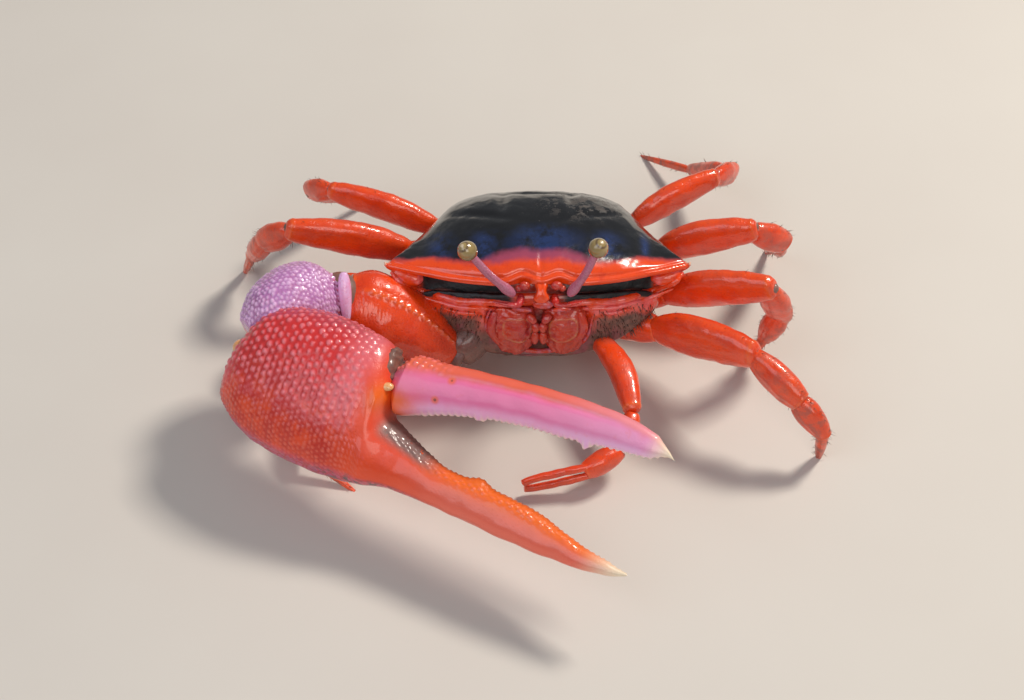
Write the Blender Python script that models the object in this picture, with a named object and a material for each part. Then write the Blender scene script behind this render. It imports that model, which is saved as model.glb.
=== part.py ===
"""Male flame-backed fiddler crab, life size, standing still on the tips of its legs.

Lengths below are millimetres, and every mesh is scaled to metres when it is finished.
The crab faces -Y, its own right side and its giant claw are on -X, and +Z is up.
"""

import bpy
import bmesh
from math import acos, atan2, copysign, cos, exp, pi, radians, sin
from mathutils import Matrix, Vector

# Scale and clearances
MM = 0.001
GAP = 0.3
ROOT_SINK = 1.2
SHARPEST_CORNER = 1.5
SLIVER = 0.01

# Where the body's middle stands, and how far its nose is lifted
HOME = Vector((1.83, 7.33, 0.0))
BODY_HEIGHT = 15.0
BODY_PITCH = radians(14.0)
BODY = (
    Matrix.Translation(HOME + Vector((0.0, 0.0, BODY_HEIGHT)))
    @ Matrix.Rotation(-BODY_PITCH, 4, "X")
)

# Carapace, in the body's own frame: values by distance from the midline
HALF_WIDTH = 18.0
FRONT_Y = ((0.0, -10.6), (2.2, -10.6), (5.5, -10.3), (10.0, -9.4), (14.0, -8.3), (18.0, -6.6))
FRONT_Z = ((0.0, 0.3), (2.2, 0.2), (5.5, 0.0), (10.0, 0.0), (14.0, 0.3), (18.0, 0.2))
CREST_Y = ((0.0, 1.5), (10.0, 0.0), (15.0, -4.0), (18.0, -6.5))
CREST_Z = ((0.0, 4.4), (5.0, 4.3), (10.0, 3.1), (14.0, 1.3), (16.5, 1.0), (18.0, 0.6))
REAR_Y = ((0.0, 11.5), (8.0, 11.1), (10.3, 9.6), (12.5, 5.6), (15.0, 0.1), (16.5, -4.0), (18.0, -6.4))
REAR_Z = ((0.0, -3.6), (8.0, -3.6), (12.5, -2.6), (15.0, -1.4), (16.5, -0.5), (18.0, 0.4))
SHELL_RIM = 1.2
GROOVE_DEPTH = 0.35

# Narrow front between the eyestalks
TONGUE_TOP = Vector((0.0, -9.7, 0.2))
TONGUE_TIP = Vector((0.0, -11.3, -1.9))
TONGUE_SIZE = ((0.0, 1.3, 0.8), (0.45, 0.75, 0.7), (0.8, 1.25, 0.6), (1.0, 1.0, 0.4))

# Lower body: (place along, y, half width, top z, bottom z, lower taper)
TRUNK_STATIONS = (
    (0.00, -9.2, 0.0, -6.3, -6.3, 0.0),
    (0.10, -9.7, 6.4, -3.6, -9.6, 0.25),
    (0.20, -9.9, 11.5, -2.7, -10.1, 0.34),
    (0.28, -9.6, 15.6, -1.9, -10.4, 0.44),
    (0.34, -8.9, 16.4, -2.0, -10.7, 0.48),
    (0.42, -7.8, 16.5, -2.9, -10.9, 0.50),
    (0.50, -6.4, 16.4, 0.0, -11.0, 0.50),
    (0.62, -2.5, 14.8, 0.0, -11.1, 0.48),
    (0.74, 2.0, 12.6, -1.0, -10.9, 0.44),
    (0.86, 6.5, 10.4, -1.8, -9.8, 0.40),
    (0.95, 9.6, 8.0, -2.6, -8.2, 0.36),
    (1.00, 10.6, 0.0, -4.8, -4.8, 0.36),
)
ROUND_FACE = 0.7
SQUARE_FLANK = 0.5
MOUTH_HALF_WIDTH = 6.2
MOUTH_TOP_Z = -3.2
MOUTH_BOTTOM_Z = -9.9
MOUTH_RECESS = 1.3
MOUTH_ROUND_Z = -4.0

# Ridge under each orbit: places from beside the mouth out to the shell's corner
RIDGE = (
    Vector((3.0, -9.9, -2.75)),
    Vector((6.0, -9.9, -2.5)),
    Vector((9.0, -9.7, -2.6)),
    Vector((11.4, -9.3, -2.6)),
    Vector((13.75, -8.5, -2.4)),
    Vector((15.6, -6.6, -2.8)),
)
RIDGE_SIZE = ((0.0, 0.4, 0.4), (0.4, 0.6, 0.55), (0.8, 0.7, 0.8), (1.0, 0.6, 0.6))

# Third maxillipeds, which close the mouth like a pair of doors
DOOR_HALF_WIDTH = 2.75
DOOR_HALF_HEIGHT = 3.1
DOOR_THICKNESS = 1.0
DOOR_CENTRE = Vector((3.0, -9.55, -6.6))

# Eyestalks: the eye's middle on the right and left side, from the body's own frame
EYE_RADIUS = 1.15
STALK_SIZE = ((0.0, 0.8, 0.8), (0.2, 0.52, 0.52), (0.8, 0.52, 0.52), (1.0, 0.62, 0.62))
STALK_ROOT = Vector((3.0, -11.2, -0.8))
EYE_RIGHT = Vector((-8.0, -16.2, 8.0))
EYE_LEFT = Vector((6.7, -16.1, 8.3))

# Antennae, short and folded beside the front
FEELER_ROOT = Vector((1.9, -11.1, -1.6))
FEELER_LENGTH = 3.6
FEELER_SIZE = ((0.0, 0.8, 0.8), (0.4, 0.55, 0.55), (1.0, 0.26, 0.26))

# Male abdomen: a narrow tapered plate folded under the body
ABDOMEN_RINGS = 7
ABDOMEN_REAR_HALF_WIDTH = 4.2
ABDOMEN_TIP_HALF_WIDTH = 1.2
ABDOMEN_REAR_Y = 9.2
ABDOMEN_TIP_Y = -3.5
ABDOMEN_THICKNESS = 0.9

# Walking legs: half heights and half thicknesses of their segments
MERUS_SIZE = ((0.0, 1.25, 1.9), (0.35, 1.45, 2.45), (0.75, 1.4, 2.3), (1.0, 1.3, 1.9))
CARPUS_SIZE = ((0.0, 1.0, 1.35), (0.45, 1.25, 1.85), (1.0, 1.15, 1.75))
PROPODUS_SIZE = ((0.0, 0.95, 1.4), (0.4, 1.05, 1.55), (1.0, 0.75, 1.05))
DACTYL_SIZE = ((0.0, 0.62, 0.8), (0.5, 0.5, 0.6), (1.0, 0.3, 0.34))
COXA_SIZE = ((0.0, 1.9, 2.1), (0.5, 1.65, 1.9), (1.0, 1.35, 1.7))
BASE_LENGTH = 4.2
LAP = 0.8
LEG_PARTS = ("base", "merus", "carpus", "propodus", "dactyl")
MERUS_ARCH = 0.5
STEEP = 0.4

# Each leg: socket in the body's own frame, then size, and its joints in the model's frame
LEGS = {
    "leg_l1": (
        (10.8, -4.4, -8.8), 1.15,
        (24.9, -16.9, 13.0), (30.1, -21.1, 10.0), (33.4, -22.9, 5.8), (33.6, -21.6, 0.0),
    ),
    "leg_l2": (
        (11.8, -0.8, -7.4), 1.0,
        (27.3, -9.5, 16.5), (29.3, -7.7, 10.2), (28.0, -6.7, 5.0), (26.0, -6.0, 0.0),
    ),
    "leg_l3": (
        (11.4, 5.2, -5.4), 0.98,
        (26.2, 1.9, 15.0), (30.3, 3.4, 11.5), (30.9, 8.4, 5.6), (30.2, 13.4, 0.0),
    ),
    "leg_l4": (
        (8.5, 9.0, -4.9), 0.85,
        (22.5, 13.5, 13.0), (25.2, 17.4, 10.4), (20.7, 24.9, 4.0), (14.9, 32.0, 0.0),
    ),
    "leg_r1": (
        (-10.8, -3.8, -8.8), 0.95,
        (-23.6, -9.0, 6.8), (-27.2, -15.6, 5.6), (-27.2, -23.6, 2.8), (-21.9, -26.6, 0.0),
    ),
    "leg_r2": (
        (-11.8, -0.8, -7.4), 1.0,
        (-28.4, -2.6, 9.0), (-32.0, -6.0, 7.6), (-34.4, -9.4, 4.2), (-37.4, -12.0, 0.0),
    ),
    "leg_r3": (
        (-11.4, 5.2, -5.4), 0.98,
        (-30.0, 2.4, 14.5), (-33.6, 4.3, 10.8), (-36.0, 7.1, 5.5), (-37.6, 9.7, 0.0),
    ),
    "leg_r4": (
        (-8.5, 9.0, -4.9), 0.85,
        (-25.5, 11.0, 13.0), (-28.6, 14.0, 10.4), (-24.9, 19.2, 4.6), (-20.2, 24.4, 0.0),
    ),
}

# Giant claw: its own frame lies along the claw, up its face, and out of its face
CLAW_CENTRE = Vector((-25.6, -22.8, 12.5))
CLAW_BEARING = radians(30.7)
CLAW_FACE_TILT = radians(46.0)
PALM_REAR = -11.2
FINGER_TIP = 42.4
PALM_FRONT = 9.4
# (distance along, upper edge, lower edge, outward bulge, inward bulge)
PALM_OUTLINE = (
    (-11.2, -1.2, -1.4, 0.0, 0.0),
    (-10.6, 2.2, -4.4, 2.6, 1.8),
    (-9.0, 6.2, -6.2, 4.0, 2.8),
    (-6.0, 8.4, -7.6, 5.0, 3.6),
    (-1.0, 9.4, -8.2, 5.6, 4.0),
    (4.0, 9.3, -8.1, 5.3, 3.8),
    (7.0, 8.7, -7.7, 4.7, 3.4),
    (8.6, 6.4, -7.4, 4.2, 3.1),
    (9.6, 2.2, -7.1, 3.9, 2.9),
    (11.4, 0.9, -6.5, 3.2, 2.6),
    (14.0, -0.1, -6.1, 2.5, 2.2),
    (18.0, -1.3, -5.9, 2.0, 1.8),
    (24.0, -1.3, -5.9, 1.8, 1.6),
    (30.0, -1.6, -5.8, 1.6, 1.4),
    (36.0, -2.8, -5.4, 1.2, 1.1),
    (40.0, -3.3, -4.7, 0.8, 0.7),
    (42.4, -3.5, -3.8, 0.25, 0.25),
)
TUBERCLE_HEIGHT = 0.45
LOWEST_TUBERCLE = -0.75
# (distance along, upper edge, lower edge, half thickness)
FINGER_OUTLINE = (
    (7.4, 6.6, 4.4, 1.4),
    (8.4, 8.4, 2.6, 2.5),
    (10.6, 9.0, 1.9, 2.7),
    (13.6, 9.4, 3.2, 2.3),
    (18.0, 10.2, 4.9, 2.0),
    (24.0, 11.2, 6.4, 1.8),
    (30.0, 11.9, 7.3, 1.6),
    (35.0, 12.1, 8.2, 1.35),
    (39.0, 11.7, 8.9, 1.0),
    (41.4, 11.0, 9.3, 0.6),
    (42.6, 10.0, 9.4, 0.25),
)
TOOTH_HEIGHT = 0.4
MIDDLE_TOOTH_AT = 19.9
MIDDLE_TOOTH_HEIGHT = 0.5
LARGE_TOOTH_AT = 32.4
LARGE_TOOTH_HEIGHT = 0.8
PALM_GRANULE_HEIGHT = 0.2
PALM_BUMP_AT = 22.8
PALM_BUMP_HEIGHT = 0.5

# Arm of the giant claw
ARM_SOCKET = Vector((-7.2, -7.2, -8.6))
ARM_ELBOW = Vector((-9.8, -11.4, 7.0))
ARM_WRIST = Vector((-23.3, -9.1, 14.4))
ARM_KNOB = Vector((-33.4, -15.4, 14.4))
ARM_MERUS_SIZE = ((0.0, 2.6, 2.2), (0.35, 4.0, 2.8), (0.8, 4.9, 3.3), (1.0, 4.3, 3.0))
ARM_CARPUS_SIZE = ((0.0, 3.4, 3.2), (0.35, 5.0, 4.2), (0.75, 4.6, 4.2), (1.0, 3.2, 3.2))
ARM_BASE_SIZE = ((0.0, 2.3, 2.3), (1.0, 2.5, 2.3))
CREST_ROOT = Vector((-22.4, -13.0, 14.4))
CREST_TIP = Vector((-22.65, -9.8, 19.4))
CREST_SIZE = ((0.0, 0.6, 0.6), (0.7, 0.85, 0.8), (1.0, 0.7, 0.7))
CONDYLE = Vector((-34.1, -17.6, 14.8))
CONDYLE_RADIUS = 1.25
ROW_SPOKE = 3
ROW_HEIGHT = 0.45
GRAIN_HEIGHT = 0.36

# Small claw, folded below the mouth
SMALL_SOCKET = Vector((6.8, -7.2, -8.6))
SMALL_ELBOW = Vector((11.2, -20.8, 7.2))
SMALL_WRIST = Vector((9.9, -24.4, 4.6))
SMALL_KNUCKLE = Vector((5.4, -26.6, 3.2))
SMALL_TIP = Vector((-1.7, -27.6, 1.9))
SMALL_MERUS_SIZE = ((0.0, 1.2, 1.2), (0.5, 1.6, 1.5), (1.0, 1.35, 1.3))
SMALL_CARPUS_SIZE = ((0.0, 1.0, 1.0), (0.6, 1.3, 1.4), (1.0, 1.2, 1.3))
SMALL_PALM_SIZE = ((0.0, 1.0, 1.1), (0.5, 1.25, 1.5), (1.0, 1.05, 1.4))
SMALL_FINGER_SIZE = ((0.0, 0.5, 0.62), (0.6, 0.42, 0.5), (1.0, 0.5, 0.62))
SMALL_FINGER_SPREAD = 0.86

# Colours with their roughness
BLACK_SHELL = ((0.012, 0.011, 0.022, 1.0), 0.22)
FLAME_SHELL = ((0.62, 0.05, 0.012, 1.0), 0.32)
LOWER_SHELL = ((0.30, 0.10, 0.07, 1.0), 0.45)
CLAW_SHELL = ((0.66, 0.10, 0.08, 1.0), 0.38)
PINK_SHELL = ((0.80, 0.30, 0.42, 1.0), 0.34)
LILAC_SHELL = ((0.60, 0.34, 0.55, 1.0), 0.42)
STALK_SHELL = ((0.50, 0.25, 0.30, 1.0), 0.40)
EYE_SHELL = ((0.28, 0.24, 0.10, 1.0), 0.15)


def clamp(value, low=-1.0, high=1.0):
    """Keep a value between two limits."""
    return max(low, min(high, value))


def smooth_keys(keys, at):
    """Read every column of a list of stations at one place, along a smooth curve."""
    last = len(keys) - 1
    if at <= keys[0][0]:
        return keys[0][1:]
    if at >= keys[last][0]:
        return keys[last][1:]
    low = max(i for i in range(last) if keys[i][0] <= at)
    span = keys[low + 1][0] - keys[low][0]
    part = (at - keys[low][0]) / span
    values = []
    for column in range(1, len(keys[0])):
        here = keys[low][column]
        there = keys[low + 1][column]
        slopes = []
        for index in (low, low + 1):
            before = keys[max(index - 1, 0)]
            after = keys[min(index + 1, last)]
            slopes.append((after[column] - before[column]) / (after[0] - before[0]) * span)
        square = part * part
        cube = square * part
        values.append(
            here * (2 * cube - 3 * square + 1)
            + slopes[0] * (cube - 2 * square + part)
            + there * (3 * square - 2 * cube)
            + slopes[1] * (cube - square)
        )
    return values


def power(value, exponent):
    """Raise a signed value to a power and keep its sign."""
    return copysign(abs(value) ** exponent, value)


def pulled(rings, sides, place):
    """Pull a sphere out of shape: place(along, round, girth) gives each point."""
    bm = bmesh.new()
    bmesh.ops.create_uvsphere(bm, u_segments=sides, v_segments=rings, radius=1.0)
    for vert in bm.verts:
        polar = acos(clamp(-vert.co.z))
        round_angle = atan2(vert.co.y, vert.co.x)
        vert.co = place(polar / pi, round_angle, sin(polar))
    bm.normal_update()
    bmesh.ops.recalc_face_normals(bm, faces=bm.faces)
    return bm


def bend(points, at):
    """A place on a smooth line through a few points, and the line's direction there."""
    keys = [(index / (len(points) - 1), *point) for index, point in enumerate(points)]
    here = Vector(smooth_keys(keys, at))
    ahead = Vector(smooth_keys(keys, min(at + 0.01, 1.0)))
    behind = Vector(smooth_keys(keys, max(at - 0.01, 0.0)))
    return here, (ahead - behind).normalized()


def smooth(ring, spoke, angle):
    """The relief of a limb segment without any bumps."""
    return 0.0


def limb(points, sizes, side, rings=9, sides=10, blunt=0.3, edge=0.85, relief=smooth):
    """A closed limb segment along a line, flattened across its side direction.

    sizes gives half thickness along side and half height across it, and relief how far
    each point of the mesh is raised.
    """
    def place(along, angle, girth):
        at = (1.0 - cos(along * pi)) / 2.0
        centre, forward = bend(points, at)
        across = (side - forward * side.dot(forward)).normalized()
        upward = across.cross(forward)
        thick, high = smooth_keys(sizes, at)
        swell = girth ** blunt
        bump = relief(round(along * rings), round(angle / (2.0 * pi) * sides), angle)
        return (
            centre
            + across * (thick * swell * power(cos(angle), edge) + bump * cos(angle))
            + upward * (high * swell * power(sin(angle), edge) + bump * sin(angle))
        )

    return pulled(rings, sides, place)


def grown(bm, margin):
    """A copy of a closed mesh with its skin moved out by a margin."""
    copy = bm.copy()
    copy.normal_update()
    moved = []
    for vert in copy.verts:
        reach = margin * min(vert.calc_shell_factor(), SHARPEST_CORNER)
        moved.append((vert, vert.co + vert.normal * reach))
    for vert, place in moved:
        vert.co = place
    return copy


def mesh_object(name, bm):
    """Put a mesh into the scene as an object."""
    mesh = bpy.data.meshes.new(name)
    bm.to_mesh(mesh)
    obj = bpy.data.objects.new(name, mesh)
    bpy.context.scene.collection.objects.link(obj)
    return obj


def combined(bm, others, operation, solver="EXACT"):
    """Cut or join one closed mesh with others by a single Boolean, and return the result."""
    base = mesh_object("base_work", bm)
    group = bpy.data.collections.new("boolean_work")
    bpy.context.scene.collection.children.link(group)
    for other in others:
        tool = mesh_object("tool_work", other)
        bpy.context.scene.collection.objects.unlink(tool)
        group.objects.link(tool)
    modifier = base.modifiers.new("combine", "BOOLEAN")
    modifier.operation = operation
    modifier.solver = solver
    modifier.operand_type = "COLLECTION"
    modifier.collection = group
    bpy.context.view_layer.update()
    result = bmesh.new()
    result.from_object(base, bpy.context.evaluated_depsgraph_get())
    for tool in list(group.objects):
        bpy.data.objects.remove(tool)
    bpy.data.collections.remove(group)
    bpy.data.objects.remove(base)
    bmesh.ops.dissolve_degenerate(result, dist=SLIVER, edges=result.edges)
    loose = [edge for edge in result.edges if not edge.link_faces]
    bmesh.ops.delete(result, geom=loose, context="EDGES")
    keep_largest(result)
    return result


def unpinch(bm):
    """Collapse the short edges at which more than two faces meet, and drop what that leaves bare."""
    pinched = [edge for edge in bm.edges if len(edge.link_faces) > 2]
    while pinched:
        bmesh.ops.collapse(bm, edges=pinched)
        bare = [edge for edge in bm.edges if not edge.link_faces]
        bmesh.ops.delete(bm, geom=bare, context="EDGES")
        pinched = [edge for edge in bm.edges if len(edge.link_faces) > 2]


def keep_largest(bm):
    """Keep only the largest closed surface of a mesh."""
    unseen = set(bm.verts)
    islands = []
    while unseen:
        stack = [unseen.pop()]
        island = set(stack)
        while stack:
            for edge in stack.pop().link_edges:
                for vert in edge.verts:
                    if vert in unseen:
                        unseen.remove(vert)
                        island.add(vert)
                        stack.append(vert)
        islands.append(island)
    islands.sort(key=spread, reverse=True)
    loose = [vert for island in islands[1:] for vert in island]
    bmesh.ops.delete(bm, geom=loose, context="VERTS")


def spread(island):
    """The diagonal of a group of points' box."""
    corners = [[vert.co[axis] for vert in island] for axis in range(3)]
    return Vector([max(values) - min(values) for values in corners]).length


def trimmed(bm, *neighbours):
    """Cut a piece clear of its neighbours, leaving the gap that touching shells keep."""
    return combined(bm, [grown(other, GAP) for other in neighbours], "DIFFERENCE")


def finish(name, bm, look):
    """Turn a mesh in millimetres into a named object in metres with its own material."""
    colour, roughness = look
    bmesh.ops.triangulate(bm, faces=bm.faces)
    unpinch(bm)
    bmesh.ops.scale(bm, vec=(MM, MM, MM), verts=bm.verts)
    bm.normal_update()
    bmesh.ops.recalc_face_normals(bm, faces=bm.faces)
    obj = mesh_object(name, bm)
    obj.data.shade_smooth()
    material = bpy.data.materials.new(name)
    material.use_nodes = True
    shader = material.node_tree.nodes["Principled BSDF"]
    shader.inputs["Base Color"].default_value = colour
    shader.inputs["Roughness"].default_value = roughness
    shader.inputs["Metallic"].default_value = 0.0
    obj.data.materials.append(material)
    return obj


def at_home(point):
    """Move a place from the crab's middle to the model's frame."""
    return Vector(point) + HOME


def across_of(start, end):
    """The level direction across a limb that runs from start to end."""
    run = end - start
    return Vector((-run.y, run.x, 0.0)).normalized()


def carapace_rim(x):
    """Front, crest and rear places of the carapace at a distance from the midline."""
    wide = abs(x)
    front = (smooth_keys(FRONT_Y, wide)[0], smooth_keys(FRONT_Z, wide)[0])
    crest = (smooth_keys(CREST_Y, wide)[0], smooth_keys(CREST_Z, wide)[0])
    rear = (smooth_keys(REAR_Y, wide)[0], smooth_keys(REAR_Z, wide)[0])
    return front, crest, rear


def carapace_place(along, angle, girth):
    """A point of the carapace: rings run across from the right corner to the left one."""
    x = -HALF_WIDTH * cos(along * pi)
    front, crest, rear = carapace_rim(x)
    forward = angle > pi / 2 or angle < -pi / 2
    edge = front if forward else rear
    y = crest[0] + (edge[0] - crest[0]) * abs(cos(angle))
    if angle >= 0.0:
        z = edge[1] + (crest[1] - edge[1]) * sin(angle)
        groove = exp(-((abs(x) - 4.2) / 0.9) ** 2) * exp(-((y - 3.0) / 3.5) ** 2)
        z -= GROOVE_DEPTH * groove
    else:
        share = (y - front[0]) / (rear[0] - front[0])
        chord = front[1] + (rear[1] - front[1]) * share
        z = chord - SHELL_RIM * min(1.0, girth * 2.0) * power(-sin(angle), 0.6)
    return BODY @ Vector((x, y, z))


def make_carapace():
    """The arched dorsal shield with its narrow front tongue joined to it."""
    shield = pulled(22, 26, carapace_place)
    bow = (TONGUE_TOP + TONGUE_TIP) / 2 + Vector((0.0, -0.35, 0.2))
    line = [BODY @ TONGUE_TOP, BODY @ bow, BODY @ TONGUE_TIP]
    level = Vector((1.0, 0.0, 0.0))
    tongue = limb(line, TONGUE_SIZE, level, rings=8, sides=10, blunt=0.5)
    return combined(shield, [tongue], "UNION")


def trunk_place(along, angle, girth):
    """A point of the lower body: rings run from the mouth, round the face, to the rear."""
    y, half, top, bottom, taper = smooth_keys(TRUNK_STATIONS, along)
    square = ROUND_FACE + (SQUARE_FLANK - ROUND_FACE) * clamp((along - 0.2) / 0.1, 0.0, 1.0)
    x = half * power(cos(angle), square)
    middle = (top + bottom) / 2.0
    z = middle + (top - bottom) / 2.0 * power(sin(angle), 0.75)
    low = clamp((top - z) / max(top - bottom, 0.1), 0.0, 1.0)
    x *= 1.0 - taper * low ** 1.3
    bow = smooth_keys(FRONT_Y, abs(x))[0] - FRONT_Y[0][1]
    y += bow * clamp(1.0 - (along - 0.3) * 2.6, 0.0, 1.0) * min(1.0, along / 0.2)
    if along < 0.55 and z > middle:
        rim = smooth_keys(FRONT_Z, abs(x))[0]
        z += (rim - 0.1) * clamp(1.0 - low * 4.0, 0.0, 1.0) * 0.8
    fall = clamp((MOUTH_ROUND_Z - z) / (MOUTH_ROUND_Z - MOUTH_BOTTOM_Z), 0.0, 1.0)
    reach = MOUTH_HALF_WIDTH * (1.0 - fall ** 2.5) ** 0.5
    inside = clamp((reach - abs(x)) / 0.8, 0.0, 1.0)
    inside *= clamp((MOUTH_TOP_Z - z) / 0.8, 0.0, 1.0)
    inside *= clamp((z - MOUTH_BOTTOM_Z) / 0.8, 0.0, 1.0)
    if along < 0.25:
        y += MOUTH_RECESS * inside
    return BODY @ Vector((x, y, z))


def make_trunk():
    """The lower body with its face, orbit ridges, mouth frame and breast plate."""
    level = Vector((0.0, 1.0, 0.0))
    ridges = []
    for side in (-1, 1):
        line = [BODY @ Vector((side * place.x, place.y, place.z)) for place in RIDGE]
        ridges.append(limb(line, RIDGE_SIZE, level, rings=12, sides=6, edge=1.0))
    return combined(pulled(24, 26, trunk_place), ridges, "UNION")


def make_door(side):
    """One third maxilliped: a raised plate with a jointed palp on its inner edge."""
    def place(along, angle, girth):
        height = -cos(along * pi)
        y = -DOOR_THICKNESS * power(sin(angle), 0.6) * girth ** 0.4
        x = DOOR_HALF_WIDTH * power(cos(angle), 0.5) * girth ** 0.3
        y -= 0.45 * exp(-((x * side + 0.6) / 0.9) ** 2) * (sin(angle) > 0.1)
        lean = 1.0 - 0.28 * max(0.0, -height) ** 2.0
        return BODY @ Vector((
            side * DOOR_CENTRE.x + x * lean,
            DOOR_CENTRE.y + y + 0.15 * abs(x),
            DOOR_CENTRE.z + DOOR_HALF_HEIGHT * height,
        ))

    return pulled(8, 12, place)


def make_stalk(side, eye):
    """A slender eyestalk from beside the front up to its eye."""
    root = Vector((side * STALK_ROOT.x, STALK_ROOT.y, STALK_ROOT.z))
    middle = (root + eye) / 2 + Vector((side * 0.5, -0.4, -0.3))
    points = [BODY @ root, BODY @ middle, BODY @ eye]
    level = Vector((0.0, 1.0, 0.0))
    return limb(points, STALK_SIZE, level, rings=9, sides=8, blunt=0.5, edge=1.0)


def make_eye(eye, root):
    """The bulging cornea that caps a stalk."""
    centre = BODY @ eye
    lie = (BODY @ eye - BODY @ root).normalized()
    start = centre - lie * EYE_RADIUS * 1.1
    end = centre + lie * EYE_RADIUS * 1.25
    sizes = ((0.0, 1.0, 1.0), (0.5, EYE_RADIUS, EYE_RADIUS), (1.0, 1.0, 1.0))
    level = Vector((0.0, 1.0, 0.0))
    return limb([start, end], sizes, level, rings=8, sides=12, blunt=1.0, edge=1.0)


def make_feeler(side):
    """A short antenna with a thick base, folded outwards beside the front."""
    root = Vector((side * FEELER_ROOT.x, FEELER_ROOT.y + 1.0, FEELER_ROOT.z))
    knee = root + Vector((side * 0.6, -1.5, -0.4))
    tip = knee + Vector((side * FEELER_LENGTH * 0.8, -0.2, 0.6))
    line = [BODY @ root, BODY @ knee, BODY @ tip]
    level = Vector((0.0, 1.0, 0.0))
    return limb(line, FEELER_SIZE, level, rings=7, sides=7, blunt=0.4, edge=1.0)


def make_abdomen():
    """The tapered tail plate of seven ringed parts under the breast."""
    def place(along, angle, girth):
        y = ABDOMEN_REAR_Y + (ABDOMEN_TIP_Y - ABDOMEN_REAR_Y) * along
        half = ABDOMEN_REAR_HALF_WIDTH
        half += (ABDOMEN_TIP_HALF_WIDTH - ABDOMEN_REAR_HALF_WIDTH) * along ** 0.7
        step = 1.0 - 0.1 * abs(cos(along * pi * ABDOMEN_RINGS))
        _, _, _, bottom, _ = trunk_section(y)
        z = bottom - 0.45 * ABDOMEN_THICKNESS * power(sin(angle), 0.6) * girth ** 0.3
        z += 0.12 * half * power(cos(angle), 2.0) ** 2 * 0.2
        return BODY @ Vector((half * step * girth ** 0.3 * power(cos(angle), 0.7), y, z - 0.2))

    return pulled(2 * ABDOMEN_RINGS, 10, place)


def trunk_section(y):
    """The lower body's sizes at a distance along it behind the face."""
    behind = [row for row in TRUNK_STATIONS if row[0] >= 0.28]
    return smooth_keys([(row[1], *row[1:]) for row in behind], y)


def claw_matrix():
    """The giant claw's own frame: along the claw, up its face, out of its face."""
    along = Vector((cos(CLAW_BEARING), -sin(CLAW_BEARING), 0.0))
    level = Vector((-sin(CLAW_BEARING), -cos(CLAW_BEARING), 0.0))
    outward = level * cos(CLAW_FACE_TILT) + Vector((0.0, 0.0, sin(CLAW_FACE_TILT)))
    upward = outward.cross(along)
    turn = Matrix((along, upward, outward)).transposed().to_4x4()
    return Matrix.Translation(CLAW_CENTRE + HOME) @ turn


CLAW = claw_matrix()


def claw_station(along, rear, front, split):
    """Spread rings evenly, closer together behind the split than in front of it."""
    share, at_split = split
    if along < share:
        return rear + (at_split - rear) * along / share
    return at_split + (front - at_split) * (along - share) / (1.0 - share)


def make_palm(rings=40, sides=32):
    """The swollen palm with its tubercles, and the fixed finger that runs on from it."""
    def place(along, angle, girth):
        at = claw_station(along, PALM_REAR, FINGER_TIP, (0.55, PALM_FRONT + 1.0))
        top, bottom, out, inn = smooth_keys(PALM_OUTLINE, at)
        across = (top + bottom) / 2.0 + (top - bottom) / 2.0 * power(sin(angle), 0.9)
        thick = out if cos(angle) > 0 else inn
        proud = thick * power(cos(angle), 0.85)
        ring = round(along * rings)
        spoke = round(angle / (2.0 * pi) * sides)
        rough = cos(angle) > -0.2 and sin(angle) > LOWEST_TUBERCLE
        if at < PALM_FRONT - 1.0 and girth > 0.15 and rough and ring % 2 == 0:
            if (spoke + ring // 2) % 2 == 0:
                proud += TUBERCLE_HEIGHT * max(0.0, cos(angle)) ** 0.5
                across += TUBERCLE_HEIGHT * sin(angle) * 0.8
        if at > PALM_FRONT + 2.0 and sin(angle) > 0.9:
            across += PALM_BUMP_HEIGHT * exp(-((at - PALM_BUMP_AT) / 0.9) ** 2)
            if ring % 2 == 0:
                across += PALM_GRANULE_HEIGHT * min(1.0, (FINGER_TIP - at) / 6.0)
        return CLAW @ Vector((at, across, proud))

    return pulled(rings, sides, place)


def make_finger(rings=40, sides=10):
    """The long movable finger with its row of teeth and hooked tip."""
    rear = FINGER_OUTLINE[0][0]
    tip = FINGER_OUTLINE[-1][0]

    def place(along, angle, girth):
        at = rear + (tip - rear) * along
        top, bottom, thick = smooth_keys(FINGER_OUTLINE, at)
        full = min(1.0, girth * 4.0)
        across = (top + bottom) / 2.0 + (top - bottom) / 2.0 * power(sin(angle), 0.9) * full
        proud = thick * power(cos(angle), 0.85) * full
        ring = round(along * rings)
        if sin(angle) < -0.9 and at > 12.0:
            across -= LARGE_TOOTH_HEIGHT * exp(-((at - LARGE_TOOTH_AT) / 0.7) ** 2)
            across -= MIDDLE_TOOTH_HEIGHT * exp(-((at - MIDDLE_TOOTH_AT) / 0.7) ** 2)
            if ring % 2 == 0:
                across -= TOOTH_HEIGHT * min(1.0, (tip - at) / 5.0)
        return CLAW @ Vector((at, across, proud))

    return pulled(rings, sides, place)


def merus_relief(ring, spoke, angle):
    """A single row of tubercles along the outer face of the giant claw's merus."""
    return ROW_HEIGHT if spoke == ROW_SPOKE and ring % 2 == 0 and 3 < ring < 15 else 0.0


def carpus_relief(ring, spoke, angle):
    """Grains all over the domed outer face of the giant claw's carpus."""
    outer = sin(angle) + cos(angle) > -0.3
    return GRAIN_HEIGHT if outer and ring % 2 == 0 and (spoke + ring // 2) % 2 == 0 else 0.0


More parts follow.
